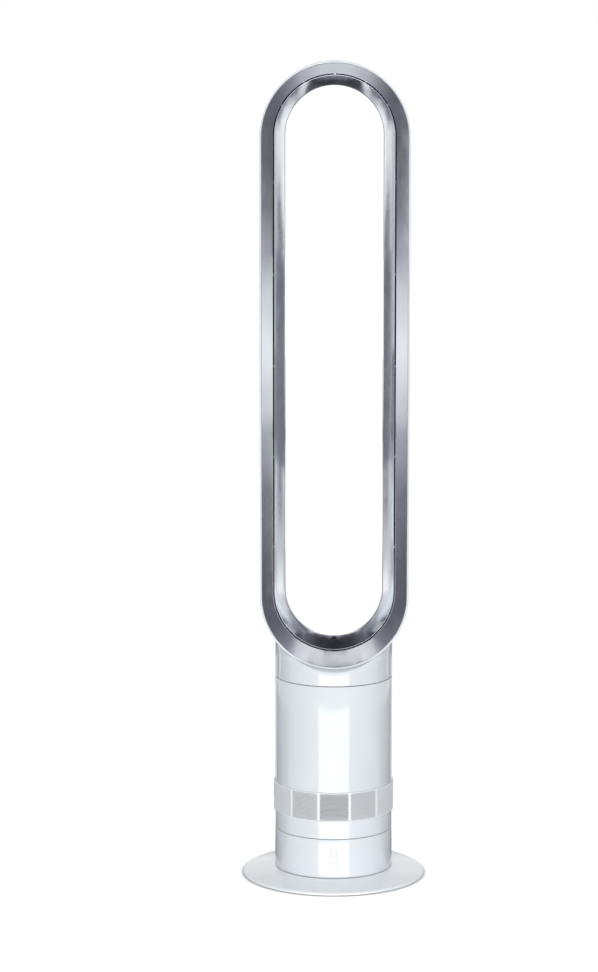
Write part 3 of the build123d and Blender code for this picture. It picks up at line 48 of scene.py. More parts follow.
# ---- Outside of the object ----
HEIGHT = 1007.0
BASE_RADIUS = 112.5
BODY_RADIUS = 72.5
BODY_WALL = 2.5
FOOT_SEAM = 11.5
LOWER_SEAM = 60.5
INTAKE_LOW = 83.5
INTAKE_HIGH = 119.0
UPPER_SEAM = 251.7
LOOP_LOW = 269.5
LOOP_HALF_WIDTH = 90.6
LOOP_DEPTH = 110.0
THROAT_RADIUS = 59.2
SLOT_RADIUS = 73.6
SLOT_DEPTH = 35.0
BELL_SLOPE = 30.0
BELL_ROUND = 10.0
BACK_ROUND = 12.0
HALF_SEAM = 0.45
EDGE_ROUND = 0.45

# ---- Loop sections ----
LOOP_WALL = 2.4
BAND_WALL = 2.0
FIT_GAP = 0.1
SLOT_GAP = 0.7
LIP_THICKNESS = 0.5
LIP_TAPER = 5.0
# The front band's face is straight: a bulge would bend what it mirrors.
FLARE_BULGE = 0.0
FLARE_INSET = 0.6
FLARE_EDGE = 0.3
FLARE_EDGE_LIFT = 0.1
FLARE_SIDE_DROP = 0.4
FLARE_SEAT = 10.0
CURL_DEPTH = 12.0
CURL_RISE = 5.6
CURL_BOW = 1.2
CURL_START_RISE = 0.25
CURL_START_DEPTH = 1.0
CURL_SLANT = 1.0

# ---- Collar and body rings ----
COLLAR_GAP = 0.15
COLLAR_TOP_WALL = 2.4
COLLAR_EDGE = 0.6
COLLAR_FLAT = 68.0
COLLAR_STEP = 4.0
COLLAR_STEPS = 6
COLLAR_UNDER = 56.0
DUCT_RADIUS = 42.0
DUCT_GAP = 0.5
SPIGOT_OUTER = 71.7
SPIGOT_INNER = 69.4
SPIGOT_REACH = 2.5
SPIGOT_ROOT = 5.0
LOWER_RING_FLOOR = 2.5
LOWER_RING_HOLE = 62.5

# ---- Foot, ring and button ----
FLOOR_GAP = 1.2
RIM_TOP = 4.4
RIM_SLANT = 1.2
RIM_WIDTH = 4.7
RIM_INSIDE = 1.7
PLATE_WALL = 2.2
PLATE_HOLE = 60.0
SHOULDER = 1.2
RING_COLUMNS = 144
RING_CHAMFER = 0.1
RING_INSIDE_LOW = 30.0
RING_INSIDE_HIGH = 40.0
BUTTON_RADIUS = 6.0
BUTTON_HEIGHT = 27.0
BUTTON_GAP = 0.15
BUTTON_PATCH = 4
# The round of the button's hole, as (distance outside the hole, depth).
BUTTON_HOLE_EDGE = ((2.5, 0), (0.35, 0), (0.1, 0.1), (0, 0.35), (0, 2.4))
DISPLAY_HEIGHT = 43.2
DIGIT_WIDTH = 6.4
DIGIT_TALL = 9.6
DIGIT_CORNER = 1.4
DIGIT_LINE = 0.3
DIGIT_PROUD = 0.03
DIGIT_ROOT = 0.2

# ---- Intake band ----
GRILLE_PROUD = 1.6
GRILLE_WALL = 2.2
# The round of the band's two ends, as (depth, distance from the end).
GRILLE_EDGE = ((0.0, 0.3), (0.1, 0.08), (0.35, 0.0), (GRILLE_WALL, 0.0))
PANELS = 12
PANEL_POST = 2.2
HOLE_ROWS = 22
HOLE_COLUMNS = 15
HOLE_HALF_WIDTH = 1.12
HOLE_HALF_HEIGHT = 0.76
HOLE_DEPTH = 3.8
FIELD_MARGIN = 0.8

# ---- Studio: strengths, tints, the sun's angles and the floor ----
AMBIENT = 0.39
AMBIENT_TINT = (0.93, 0.975, 1.02)
DARK_TINT = (-0.045, -0.07, 0.13)
SUN_STRENGTH = 2.12
SUN_ELEVATION = 22
SUN_SPREAD = 30
FLOOR_REACH = 60000.0
FLOOR_SEEN = 0.56
FLOOR_MIRRORED = 0.34
# Painted shade round the foot: the floor's glow fades out from this far inside the rim to this far
# outside it.
PAINTED_SHADE_INSIDE = 1.0
PAINTED_SHADE_OUTSIDE = 6.0

# ---- Reflection cards: distances from the middle, heights, and depths behind the fan ----
CARD_DEPTH = 200
SURROUND_DEPTH = 204
HIGH_INNER_DEPTH = 199
BAND_CARD_NEAR = 143
BAND_CARD_FAR = 190
TURN_CARD_FAR = 262
BAND_CARD_LOW = 230
BAND_CARD_HIGH = 920
SHOULDER_LOW = 688
SHOULDER_HIGH = 742
CARD_TOP = 960
MIDDLE_CARD_REACH = 60
CROWN_HEIGHT = 500
OVERHEAD_HEIGHT = 1120
BOWL_HEIGHT = 420
FLOOR_CARD_FIRST = 95
FLOOR_CARD_LAST = 146
FLOOR_CARD_NEAR = 118
FLOOR_CARD_FAR = 1500
FLOOR_CARD_HEIGHT = 3
FLOOR_CARD_GREY = 0.12
FAR_CARD_FRONT = (2853, 927)
FAR_CARD_BACK = (2229, 2007)
FAR_CARD_LOW = 5
FAR_CARD_HIGH = 1400
BACK_CARD_REACH = 1600
BACK_CARD_LOW = 200
BACK_CARD_HIGH = 1300
BACK_CARD_DEPTH = 3000
BACK_CARD_LIGHT = 1.4
FRONT_CARD_TIP = -37.5
FRONT_CARD_END = -1997
FRONT_CARD_LENGTH = 1960
FRONT_CARD_TURN = 30
FRONT_CARD_HEIGHT = 2
FRONT_CARD_LIGHT = 5.0

# ---- Camera ----
CAMERA_PLACE = (-42.95, -3980.0, 1113.97)
CAMERA_DIP = 8.94
FOCAL_LENGTH = 121.64
SENSOR_WIDTH = 36.0

# ---- Sizes that follow ----
loop_low_centre = LOOP_LOW + LOOP_HALF_WIDTH
loop_top_centre = HEIGHT - LOOP_HALF_WIDTH
loop_front = -LOOP_DEPTH / 2
loop_back = LOOP_DEPTH / 2
loop_inner = LOOP_HALF_WIDTH - LOOP_WALL
back_centre = loop_back - BACK_ROUND
back_middle = LOOP_HALF_WIDTH - BACK_ROUND
slot_y = loop_front + SLOT_DEPTH
lip_outer = SLOT_RADIUS - SLOT_GAP
lip_inner = lip_outer - LIP_THICKNESS
body_inner = BODY_RADIUS - BODY_WALL
collar_hole = DUCT_RADIUS + DUCT_GAP
grille_outer = BODY_RADIUS + GRILLE_PROUD


# ================= Outlines =================


def arc(centre, radius, start, end, steps):
    """Points of an arc between two angles in degrees, both ends included."""
    points = []
    for i in range(steps + 1):
        angle = radians(start + (end - start) * i / steps)
        points.append((centre[0] + radius * cos(angle), centre[1] + radius * sin(angle)))
    return points


def bowed(start, end, bulge, steps):
    """Points from start to end on a shallow curve that bulges to the left by the given height."""
    along = Vector(end) - Vector(start)
    left = Vector((-along.y, along.x)).normalized()
    points = []
    for i in range(steps + 1):
        share = i / steps
        lift = bulge * 4 * share * (1 - share)
        points.append(tuple(Vector(start) + along * share + left * lift))
    return points


def rounded(corners, steps=4):
    """A closed outline of (x, y, radius) corners, each rounded by its own radius."""
    outline = []
    for i, (x, y, radius) in enumerate(corners):
        corner = Vector((x, y))
        if radius == 0:
            outline.append((x, y))
            continue
        before = (Vector(corners[i - 1][:2]) - corner).normalized()
        after = (Vector(corners[(i + 1) % len(corners)][:2]) - corner).normalized()
        half = before.angle(after) / 2
        centre = corner + (before + after).normalized() * (radius / sin(half))
        first = corner + before * (radius / tan(half)) - centre
        last = corner + after * (radius / tan(half)) - centre
        turn = atan2(first.x * last.y - first.y * last.x, first.dot(last))
        for k in range(steps + 1):
            angle = turn * k / steps
            across = first.x * cos(angle) - first.y * sin(angle)
            along = first.x * sin(angle) + first.y * cos(angle)
            outline.append(tuple(centre + Vector((across, along))))
    return outline


# ================= Meshes =================


def finish_mesh(name, maker, sharp=40.0):
    """Turns a bmesh into an object with smooth shading and sharp edges above an angle in degrees."""
    bmesh.ops.recalc_face_normals(maker, faces=maker.faces)
    mesh = bpy.data.meshes.new(name)
    maker.to_mesh(mesh)
    maker.free()
    mesh.shade_smooth()
    mesh.set_sharp_from_angle(angle=radians(sharp))
    piece = bpy.data.objects.new(name, mesh)
    bpy.context.scene.collection.objects.link(piece)
    return piece


def join_rings(maker, first, second):
    """A strip of faces between two rings with as many points each."""
    for i in range(len(first)):
        k = (i + 1) % len(first)
        maker.faces.new((first[i], first[k], second[k], second[i]))


def swept(name, rings):
    """A skin over rings of points in millimetres, each a closed outline, the last joined to the first."""
    maker = bmesh.new()
    rows = [[maker.verts.new(Vector(point) * MM) for point in ring] for ring in rings]
    for i, row in enumerate(rows):
        join_rings(maker, row, rows[(i + 1) % len(rows)])
    return finish_mesh(name, maker)


def turned(name, outline, steps=180):
    """A closed (radius, height) outline turned round the main axis."""
    rings = []
    for i in range(steps):
        angle = 2 * pi * i / steps
        rings.append([(r * cos(angle), r * sin(angle), z) for r, z in outline])
    return swept(name, rings)


def carried_round(name, outline):
    """A closed (radius, depth) outline carried round the loop."""
    steps = 90
    rings = []
    for centre, first in ((loop_top_centre, 0.0), (loop_low_centre, 180.0)):
        for i in range(steps + 1):
            angle = radians(first + 180 * i / steps)
            rings.append([(r * cos(angle), y, centre + r * sin(angle)) for r, y in outline])
    return swept(name, rings)


# ================= Loop =================


def shell_outline():
    """Outer casing: a wall with a round front lip that turns in over a round back."""
    lip = LOOP_WALL / 2
    front = arc((loop_inner + lip, loop_front + lip), lip, 180, 360, 12)
    back = arc((back_middle, back_centre), BACK_ROUND, 0, 90, 20)
    inner = arc((back_middle, back_centre), BACK_ROUND - LOOP_WALL, 90, 0, 12)
    return front + back + inner


def airfoil_outline():
    """Inner casing: rounded back, diffuser, throat, and a cone that thins out at the slot's lip."""
    slope = radians(BELL_SLOPE)
    cone_r = THROAT_RADIUS + BELL_ROUND * (1 - cos(slope))
    cone_y = slot_y + (lip_inner - cone_r) / tan(slope)
    throat_y = cone_y + BELL_ROUND * sin(slope)
    reach = back_centre - throat_y
    offset = back_middle - THROAT_RADIUS
    bend = (reach**2 + offset**2 - BACK_ROUND**2) / (2 * (offset - BACK_ROUND))
    bend_centre = (THROAT_RADIUS + bend, throat_y)
    turn = asin(reach / (bend - BACK_ROUND)) * 180 / pi
    round_centre = (THROAT_RADIUS + BELL_ROUND, throat_y)
    back = arc((back_middle, back_centre), BACK_ROUND, 90.5, 180 - turn, 16)
    diffuser = arc(bend_centre, bend, 180 - turn, 180, 20)[1:]
    throat = arc(round_centre, BELL_ROUND, 180, 180 + BELL_SLOPE, 14)[1:]
    nose = LIP_THICKNESS / 2
    lip = arc((lip_inner + nose, slot_y + nose), nose, 200, 360, 6)
    taper = (
        lip_inner - LIP_TAPER * sin(slope) + BAND_WALL * cos(slope),
        slot_y + LIP_TAPER * cos(slope) + BAND_WALL * sin(slope),
    )
    behind = arc(round_centre, BELL_ROUND - BAND_WALL, 180 + BELL_SLOPE, 180, 8)
    hidden = arc(bend_centre, bend - BAND_WALL, 180, 180 - turn, 12)[1:]
    inner_back = arc((back_middle, back_centre), BACK_ROUND - BAND_WALL, 180 - turn, 90.5, 10)[1:]
    return back + diffuser + throat + lip + [taper] + behind + hidden + inner_back


def flare_outline():
    """Front band: a straight face down to the slot, a curl behind it, and a seat in the casing."""
    outer = loop_inner - FIT_GAP
    edge_y = loop_front + FLARE_INSET
    seat_y = edge_y + FLARE_SEAT
    slope = atan2(outer - SLOT_RADIUS, slot_y - edge_y)
    face_start = (outer - FLARE_EDGE, edge_y + FLARE_EDGE_LIFT)
    face = bowed(face_start, (SLOT_RADIUS, slot_y), -FLARE_BULGE, 10)
    curl_start = (SLOT_RADIUS + CURL_START_RISE, slot_y + CURL_START_DEPTH)
    curl_end = (SLOT_RADIUS + CURL_RISE, slot_y + CURL_DEPTH)
    curl = bowed(curl_start, curl_end, -CURL_BOW, 6)
    back = [
        (curl_end[0] + BAND_WALL, curl_end[1] - CURL_SLANT),
        (SLOT_RADIUS + BAND_WALL * cos(slope), slot_y),
    ]
    seat = [(outer - BAND_WALL, seat_y), (outer, seat_y), (outer, edge_y + FLARE_SIDE_DROP)]
    return face + curl + back + seat


def make_loop():
    """The white casing and the two silver bands, with the air slot left between the bands."""
    shell = carried_round("loop_casing", shell_outline())
    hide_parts("loop_shell")
    airfoil = carried_round("loop_inner_band", airfoil_outline())
    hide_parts("loop_airfoil")
    flare = carried_round("loop_front_band", flare_outline())
    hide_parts("loop_flare")
    for piece, slot in ((shell, "white_gloss"), (airfoil, "silver"), (flare, "silver")):
        dress(piece, "column", slot)


# ================= Body =================


def saddle(x):
    """Height of the collar's top, which follows the loop's lower turn."""
    cut = LOOP_HALF_WIDTH + COLLAR_GAP
    return loop_low_centre - sqrt(cut**2 - x**2)


def collar_ring(angle):
    """One upright outline of the collar at an angle round the main axis."""
    low = UPPER_SEAM + HALF_SEAM
    outline = [(body_inner, low), (BODY_RADIUS - EDGE_ROUND, low), (BODY_RADIUS, low + EDGE_ROUND)]
    wall = saddle(BODY_RADIUS * cos(angle)) - COLLAR_EDGE - low
    outline += [(BODY_RADIUS, low + wall * share) for share in (0.25, 0.5, 0.75, 1.0)]
    for turn in (30, 60, 90):
        radius = BODY_RADIUS - COLLAR_EDGE * (1 - cos(radians(turn)))
        lift = saddle(radius * cos(angle)) - COLLAR_EDGE * (1 - sin(radians(turn)))
        outline.append((radius, lift))
    for radius in [COLLAR_FLAT - COLLAR_STEP * i for i in range(COLLAR_STEPS)] + [collar_hole]:
        outline.append((radius, saddle(radius * cos(angle))))
    for radius in (collar_hole, COLLAR_UNDER, body_inner):
        outline.append((radius, saddle(radius * cos(angle)) - COLLAR_TOP_WALL))
    return [(r * cos(angle), r * sin(angle), z) for r, z in outline]


def make_collar():
    """The piece that carries the loop on the body."""
    steps = 240
    rings = [collar_ring(2 * pi * i / steps) for i in range(steps)]
    collar = swept("collar_skin", rings)
    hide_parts("collar")
    dress(collar, "column", "white_gloss")


def make_body_shell():
    """The main shell, with a spigot below that reaches into the intake band."""
    low = INTAKE_HIGH + HALF_SEAM
    high = UPPER_SEAM - HALF_SEAM
    corners = [
        (BODY_RADIUS, low, EDGE_ROUND),
        (BODY_RADIUS, high, EDGE_ROUND),
        (body_inner, high, 0),
        (body_inner, low + SPIGOT_ROOT, 0),
        (SPIGOT_INNER, low + SPIGOT_ROOT, 0),
        (SPIGOT_INNER, INTAKE_HIGH - SPIGOT_REACH, 0),
        (SPIGOT_OUTER, INTAKE_HIGH - SPIGOT_REACH, 0),
        (SPIGOT_OUTER, low, 0),
    ]
    shell = turned("body_shell_skin", rounded(corners))
    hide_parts("main_body_shell")
    dress(shell, "column", "white_gloss")


def make_lower_ring():
    """The ring under the intake band, with a spigot above and a floor."""
    low = LOWER_SEAM + HALF_SEAM
    high = INTAKE_LOW - HALF_SEAM
    corners = [
        (BODY_RADIUS, low, EDGE_ROUND),
        (BODY_RADIUS, high, EDGE_ROUND),
        (SPIGOT_OUTER, high, 0),
        (SPIGOT_OUTER, INTAKE_LOW + SPIGOT_REACH, 0),
        (SPIGOT_INNER, INTAKE_LOW + SPIGOT_REACH, 0),
        (SPIGOT_INNER, high - SPIGOT_ROOT, 0),
        (body_inner, high - SPIGOT_ROOT, 0),
        (body_inner, low + LOWER_RING_FLOOR, 0),
        (LOWER_RING_HOLE, low + LOWER_RING_FLOOR, 0),
        (LOWER_RING_HOLE, low, 0),
    ]
    ring = turned("lower_ring_skin", rounded(corners))
    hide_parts("lower_body_ring")
    dress(ring, "column", "white_gloss")


def make_foot():
    """The round foot plate with its soft rim."""
    top = FOOT_SEAM - HALF_SEAM
    shoulder = BODY_RADIUS + SHOULDER
    corners = [
        (PLATE_HOLE, top, 0),
        (shoulder, top, 1.0),
        (BASE_RADIUS - RIM_SLANT, RIM_TOP, 2.0),
        (BASE_RADIUS, RIM_TOP - RIM_SLANT, 0.6),
        (BASE_RADIUS, FLOOR_GAP, 0.4),
        (BASE_RADIUS - RIM_WIDTH, FLOOR_GAP, 0.3),
        (BASE_RADIUS - RIM_WIDTH, FLOOR_GAP + RIM_INSIDE, 0),
        (shoulder, top - PLATE_WALL, 0),
        (PLATE_HOLE, top - PLATE_WALL, 0),
    ]
    plate = turned("foot_plate_skin", rounded(corners, 6), steps=240)
    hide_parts("base_plate")
    # Painted light: the foot wears a lighter copy of the body's white.
    dress(plate, "base", "white_gloss", "white_gloss_foot_painted_light")


def body_vert(maker, across, height, radius=BODY_RADIUS):
    """A point by its distance along the body's surface from the front, its height and its radius."""
    angle = across / BODY_RADIUS - pi / 2
    return maker.verts.new(Vector((radius * cos(angle), radius * sin(angle), height)) * MM)


def make_control_ring():
    """The control ring: a wall with a round hole for the button, its edges softened."""
    low = FOOT_SEAM + HALF_SEAM
    high = LOWER_SEAM - HALF_SEAM
    step = 2 * pi * BODY_RADIUS / RING_COLUMNS
    patch_low = BUTTON_HEIGHT - BUTTON_PATCH * step
    heights = [patch_low + i * step for i in range(2 * BUTTON_PATCH + 1)]
    levels = [low + EDGE_ROUND] + heights + [high - EDGE_ROUND]
    maker = bmesh.new()
    grid = [[body_vert(maker, i * step, z) for z in levels] for i in range(RING_COLUMNS)]
    cover_grid(maker, grid)
    cut_button_hole(maker, button_patch_edge(grid))
    low_rim = [
        (BODY_RADIUS - RING_CHAMFER, low + RING_CHAMFER),
        (BODY_RADIUS - EDGE_ROUND, low),
        (body_inner, low),
        (body_inner, RING_INSIDE_LOW),
    ]
    high_rim = [
        (BODY_RADIUS - RING_CHAMFER, high - RING_CHAMFER),
        (BODY_RADIUS - EDGE_ROUND, high),
        (body_inner, high),
        (body_inner, RING_INSIDE_HIGH),
    ]
    for level, profile in ((0, low_rim), (-1, high_rim)):
        ring = [column[level] for column in grid]
        for radius, height in profile:
            inner = [body_vert(maker, i * step, height, radius) for i in range(RING_COLUMNS)]
            join_rings(maker, ring, inner)
            ring = inner
    ring_piece = finish_mesh("control_ring_skin", maker)
    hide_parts("control_ring")
    dress(ring_piece, "base", "white_gloss")


def cover_grid(maker, grid):
    """Faces between the columns of the ring, but for the square patch that holds the button's hole."""
    for i, here in enumerate(grid):
        there = grid[(i + 1) % RING_COLUMNS]
        beside_button = i < BUTTON_PATCH or i >= RING_COLUMNS - BUTTON_PATCH
        for j in range(len(here) - 1):
            if not (beside_button and 1 <= j <= 2 * BUTTON_PATCH):
                maker.faces.new((here[j], there[j], there[j + 1], here[j + 1]))


def button_patch_edge(grid):
    """The corner-to-corner loop of grid points round the button, anticlockwise from the lower left."""
    reach = BUTTON_PATCH
    size = 2 * reach
    low = [(i, 1) for i in range(-reach, reach)]
    right = [(reach, 1 + j) for j in range(size)]
    top = [(reach - i, 1 + size) for i in range(size)]
    left = [(-reach, 1 + size - j) for j in range(size)]
    return [grid[i][j] for i, j in low + right + top + left]


def cut_button_hole(maker, edge):
    """Fills the patch in to the hole's rounded edge and goes on down its wall."""
    turns = [angle_round_button(vertex) for vertex in edge]
    ring = edge
    for outside, depth in BUTTON_HOLE_EDGE:
        radius = BUTTON_RADIUS + BUTTON_GAP + outside
        inner = []
        for turn in turns:
            height = BUTTON_HEIGHT + radius * sin(turn)
            inner.append(body_vert(maker, radius * cos(turn), height, BODY_RADIUS - depth))
        join_rings(maker, ring, inner)
        ring = inner


def angle_round_button(vertex):
    """Angle of a patch point round the button's middle, on the unrolled body."""
    place = vertex.co / MM
    across = (atan2(place.y, place.x) + pi / 2) * BODY_RADIUS
    return atan2(place.z - BUTTON_HEIGHT, across)


def make_digit():
    """The faint outline of the display's digit on the ring's front."""
    half = DIGIT_WIDTH / 2
    tall = DIGIT_TALL / 2
    signs = ((1, 1), (-1, 1), (-1, -1), (1, -1))
    middle = rounded([(half * a, tall * b, DIGIT_CORNER) for a, b in signs], 5)
    outside = (1, 1)
    inside = ((half - DIGIT_LINE) / half, (tall - DIGIT_LINE) / tall)
    profile = (
        (outside, -DIGIT_ROOT),
        (outside, DIGIT_PROUD),
        (inside, DIGIT_PROUD),
        (inside, -DIGIT_ROOT),
    )
    maker = bmesh.new()
    rings = []
    for (wide, high), proud in profile:
        ring = []
        for across, up in middle:
            radius = BODY_RADIUS + proud
            ring.append(body_vert(maker, across * wide, DISPLAY_HEIGHT + up * high, radius))
        rings.append(ring)
    for i in range(4):
        join_rings(maker, rings[i], rings[(i + 1) % 4])
    digit = finish_mesh("display_digit", maker)
    dress(digit, "base", "grey_plastic")


# ================= Intake band =================


def panel_vert(maker, angle, across, height, radius):
    """A point of one panel: straight along the panel's own outward direction."""
    reach = sqrt(radius**2 - across**2)
    x = reach * cos(angle) - across * sin(angle)
    y = reach * sin(angle) + across * cos(angle)
    return maker.verts.new(Vector((x, y, height)) * MM)


def hole_cell(maker, corners, middle, angle):
    """One brick-shaped cell with a six-sided hole that goes straight through."""
    across, height = middle
    front = []
    back = []
    for turn in (150, 90, 30, -30, -90, -150):
        u = across + HOLE_HALF_WIDTH * cos(radians(turn)) / cos(radians(30))
        z = height + HOLE_HALF_HEIGHT * sin(radians(turn))
        front.append(panel_vert(maker, angle, u, z, grille_outer))
        back.append(panel_vert(maker, angle, u, z, grille_outer - HOLE_DEPTH))
    join_rings(maker, corners, front)
    join_rings(maker, front, back)


def make_panel(maker, angle, levels, half_width):
    """One panel of staggered holes; returns its lines of points, one for each level."""
    half_pitch = half_width / HOLE_COLUMNS
    count = 2 * HOLE_COLUMNS
    lines = []
    for z in levels:
        places = [-half_width + i * half_pitch for i in range(count + 1)]
        lines.append([panel_vert(maker, angle, across, z, grille_outer) for across in places])
    for row in range(HOLE_ROWS):
        low = lines[row]
        high = lines[row + 1]
        middle_z = (levels[row] + levels[row + 1]) / 2
        first = row % 2
        if first:
            maker.faces.new((low[0], low[1], high[1], high[0]))
            maker.faces.new((low[count - 1], low[count], high[count], high[count - 1]))
        for i in range(first, count - 1, 2):
            corners = (high[i], high[i + 1], high[i + 2], low[i + 2], low[i + 1], low[i])
            hole_cell(maker, corners, (-half_width + (i + 1) * half_pitch, middle_z), angle)
    return lines


def close_grille(maker, panels, row, end, inward):
    """Rolls the grille's rim at one end of its height inwards, to the band's own wall."""
    ring = [vertex for panel in panels for vertex in panel[row]]
    for depth, inset in GRILLE_EDGE:
        radius = grille_outer - depth
        inner = []
        for vertex in ring:
            angle = atan2(vertex.co.y, vertex.co.x)
            place = Vector((radius * cos(angle), radius * sin(angle), end + inward * inset))
            inner.append(maker.verts.new(place * MM))
        join_rings(maker, ring, inner)
        ring = inner


def make_grille():
    """Twelve flat-sided panels in a ring, with plain posts between them."""
    field_low = INTAKE_LOW + FIELD_MARGIN
    field_high = INTAKE_HIGH - FIELD_MARGIN
    levels = [field_low + (field_high - field_low) * i / HOLE_ROWS for i in range(HOLE_ROWS + 1)]
    half_width = grille_outer * sin(pi / PANELS) - PANEL_POST / 2
    maker = bmesh.new()
    panels = []
    for i in range(PANELS):
        angle = 2 * pi * i / PANELS - pi / 2
        panels.append(make_panel(maker, angle, levels, half_width))
    for i in range(PANELS):
        here = panels[i]
        there = panels[(i + 1) % PANELS]
        for row in range(HOLE_ROWS):
            maker.faces.new((here[row][-1], there[row][0], there[row + 1][0], here[row + 1][-1]))
    close_grille(maker, panels, 0, INTAKE_LOW, 1)
    close_grille(maker, panels, HOLE_ROWS, INTAKE_HIGH, -1)
    grille = finish_mesh("intake_panels", maker, sharp=30.0)
    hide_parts("intake_grille")
    dress(grille, "column", "white_satin")


# ================= Materials =================

# Waves of colour to the metre, on every surface.
CLOUD = 14.0
METAL = 1.0


def node_set(material):
    """Clears a material's node tree and returns its nodes, links, shader and object coordinates."""
    material.use_nodes = True
    nodes = material.node_tree.nodes
    links = material.node_tree.links
    nodes.clear()
    output = nodes.new("ShaderNodeOutputMaterial")
    shader = nodes.new("ShaderNodeBsdfPrincipled")
    place = nodes.new("ShaderNodeTexCoord")
    links.new(shader.outputs["BSDF"], output.inputs["Surface"])
    return nodes, links, shader, place.outputs["Object"]


def noise(nodes, links, place, scale, detail=2.0):
    """A noise value between 0 and 1; scale is in waves to the metre."""
    texture = nodes.new("ShaderNodeTexNoise")
    texture.inputs["Scale"].default_value = scale
    texture.inputs["Detail"].default_value = detail
    links.new(place, texture.inputs["Vector"])
    return texture.outputs["Fac"]


def ranged(nodes, links, value, low, high):
    """Maps the common part of a noise value to a range."""
    spread = nodes.new("ShaderNodeMapRange")
    spread.inputs["From Min"].default_value = 0.3
    spread.inputs["From Max"].default_value = 0.7
    spread.inputs["To Min"].default_value = low
    spread.inputs["To Max"].default_value = high
    links.new(value, spread.inputs["Value"])
    return spread.outputs["Result"]


def tinted(nodes, links, value, dark, light):
    """Maps a noise value to a colour between two near shades."""
    ramp = nodes.new("ShaderNodeValToRGB")
    ramp.color_ramp.elements[0].position = 0.35
    ramp.color_ramp.elements[0].color = (*dark, 1)
    ramp.color_ramp.elements[1].position = 0.65
    ramp.color_ramp.elements[1].color = (*light, 1)
    links.new(value, ramp.inputs["Fac"])
    return ramp.outputs["Color"]


def bumped(nodes, links, height, shader, strength, depth):
    """Gives a shader a bump of a depth in metres."""
    bump = nodes.new("ShaderNodeBump")
    bump.inputs["Strength"].default_value = strength
    bump.inputs["Distance"].default_value = depth
    links.new(height, bump.inputs["Height"])
    links.new(bump.outputs["Normal"], shader.inputs["Normal"])


def surface(name, dark, light, roughness, grain, strength, depth, metallic=0.0):
    """A moulded, painted or metal surface: colour clouds, uneven gloss and a fine grain."""
    material = bpy.data.materials.new(name)
    nodes, links, shader, place = node_set(material)
    shader.inputs["Metallic"].default_value = metallic
    clouds = noise(nodes, links, place, CLOUD)
    links.new(tinted(nodes, links, clouds, dark, light), shader.inputs["Base Color"])
    haze = noise(nodes, links, place, CLOUD * 4, 4.0)
    links.new(ranged(nodes, links, haze, *roughness), shader.inputs["Roughness"])
    bumped(nodes, links, noise(nodes, links, place, grain, 3.0), shader, strength, depth * MM)
    return material


# Each finish: its dark and its light shade, its least and most roughness, the waves of its grain to
# the metre, the strength of the grain's bump and that bump's depth in millimetres.
FINISHES = {
    "white_gloss": ((0.728, 0.755, 0.785), (0.75, 0.777, 0.806), (0.07, 0.12), 900, 0.05, 0.05),
    # The foot's white is a lighter copy of the same white: painted light, making up for the light the
    # foot gets.
    "white_gloss_foot_painted_light": ((0.82, 0.845, 0.865), (0.84, 0.865, 0.885), (0.1, 0.16), 900, 0.05, 0.05),
    "white_satin": ((0.88, 0.91, 0.94), (0.9, 0.925, 0.95), (0.6, 0.7), 1800, 0.12, 0.06),
    "silver": ((0.61, 0.638, 0.678), (0.632, 0.663, 0.697), (0.09, 0.13), 2600, 0.03, 0.03, METAL),
    "dark_plastic": ((0.018, 0.018, 0.02), (0.03, 0.03, 0.033), (0.4, 0.55), 1500, 0.3, 0.1),
    "grey_plastic": ((0.16, 0.165, 0.175), (0.2, 0.205, 0.215), (0.35, 0.5), 1500, 0.25, 0.1),
    "acetal": ((0.7, 0.7, 0.67), (0.76, 0.76, 0.73), (0.3, 0.42), 1200, 0.15, 0.1),
    "rubber": ((0.02, 0.02, 0.021), (0.032, 0.032, 0.034), (0.7, 0.85), 2200, 0.5, 0.15),
    "foam": ((0.03, 0.03, 0.034), (0.075, 0.075, 0.08), (0.9, 1.0), 700, 1.0, 0.8),
    "steel": ((0.5, 0.51, 0.53), (0.58, 0.59, 0.61), (0.25, 0.38), 1400, 0.2, 0.06, METAL),
    "laminations": ((0.2, 0.2, 0.21), (0.3, 0.3, 0.31), (0.35, 0.5), 2600, 0.6, 0.1, METAL),
    "copper": ((0.6, 0.27, 0.13), (0.72, 0.36, 0.2), (0.25, 0.4), 2400, 0.7, 0.2, METAL),
    "magnet": ((0.4, 0.4, 0.41), (0.48, 0.48, 0.49), (0.2, 0.32), 1200, 0.2, 0.06, METAL),
    "board": ((0.01, 0.1, 0.045), (0.02, 0.15, 0.07), (0.3, 0.45), 900, 0.3, 0.08),
    "chip": ((0.012, 0.012, 0.013), (0.03, 0.03, 0.032), (0.35, 0.5), 1800, 0.3, 0.08),
}


def make_materials():
    """One material for each slot of the record, and a lighter copy of the white for the foot, which is
    painted light.
    """
    made = {name: surface(name, *finish) for name, finish in FINISHES.items()}
    thin_wall = made["white_satin"].node_tree.nodes["Principled BSDF"]
    thin_wall.inputs["Subsurface Weight"].default_value = 0.7
    thin_wall.inputs["Subsurface Radius"].default_value = (1.0, 1.0, 1.0)
    thin_wall.inputs["Subsurface Scale"].default_value = 0.003
    return made


def dress(piece, body, slot, finish=None):
    """Gives a new piece its body and the material of its slot, or of another finish."""
    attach(piece, body)
    piece.data.materials.append(materials[finish or slot])


def dress_cad_nodes():
    """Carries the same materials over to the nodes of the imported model."""
    slots = {part["node"]: part["material_slot"] for part in frame["record"]["subparts"]}
    for name, node in frame["nodes"].items():
        node.data.materials.clear()
        node.data.materials.append(materials[slots[name]])


# ================= Scene =================


def calculated(nodes, links, operation, *values):
    """The result of a math node, fed by other nodes' results or by plain numbers."""
    node = nodes.new("ShaderNodeMath")
    node.operation = operation
    for entry, value in zip(node.inputs, values):
        if isinstance(value, float):
            entry.default_value = value
        else:
            links.new(value, entry)
    return node.outputs[0]


def lit_for_seen_rays(nodes, links):
    """One for camera, glossy and transmission rays, nought for the rest."""
    ray = nodes.new("ShaderNodeLightPath").outputs
    seen = calculated(nodes, links, "MAXIMUM", ray["Is Camera Ray"], ray["Is Glossy Ray"])
    return calculated(nodes, links, "MAXIMUM", seen, ray["Is Transmission Ray"])


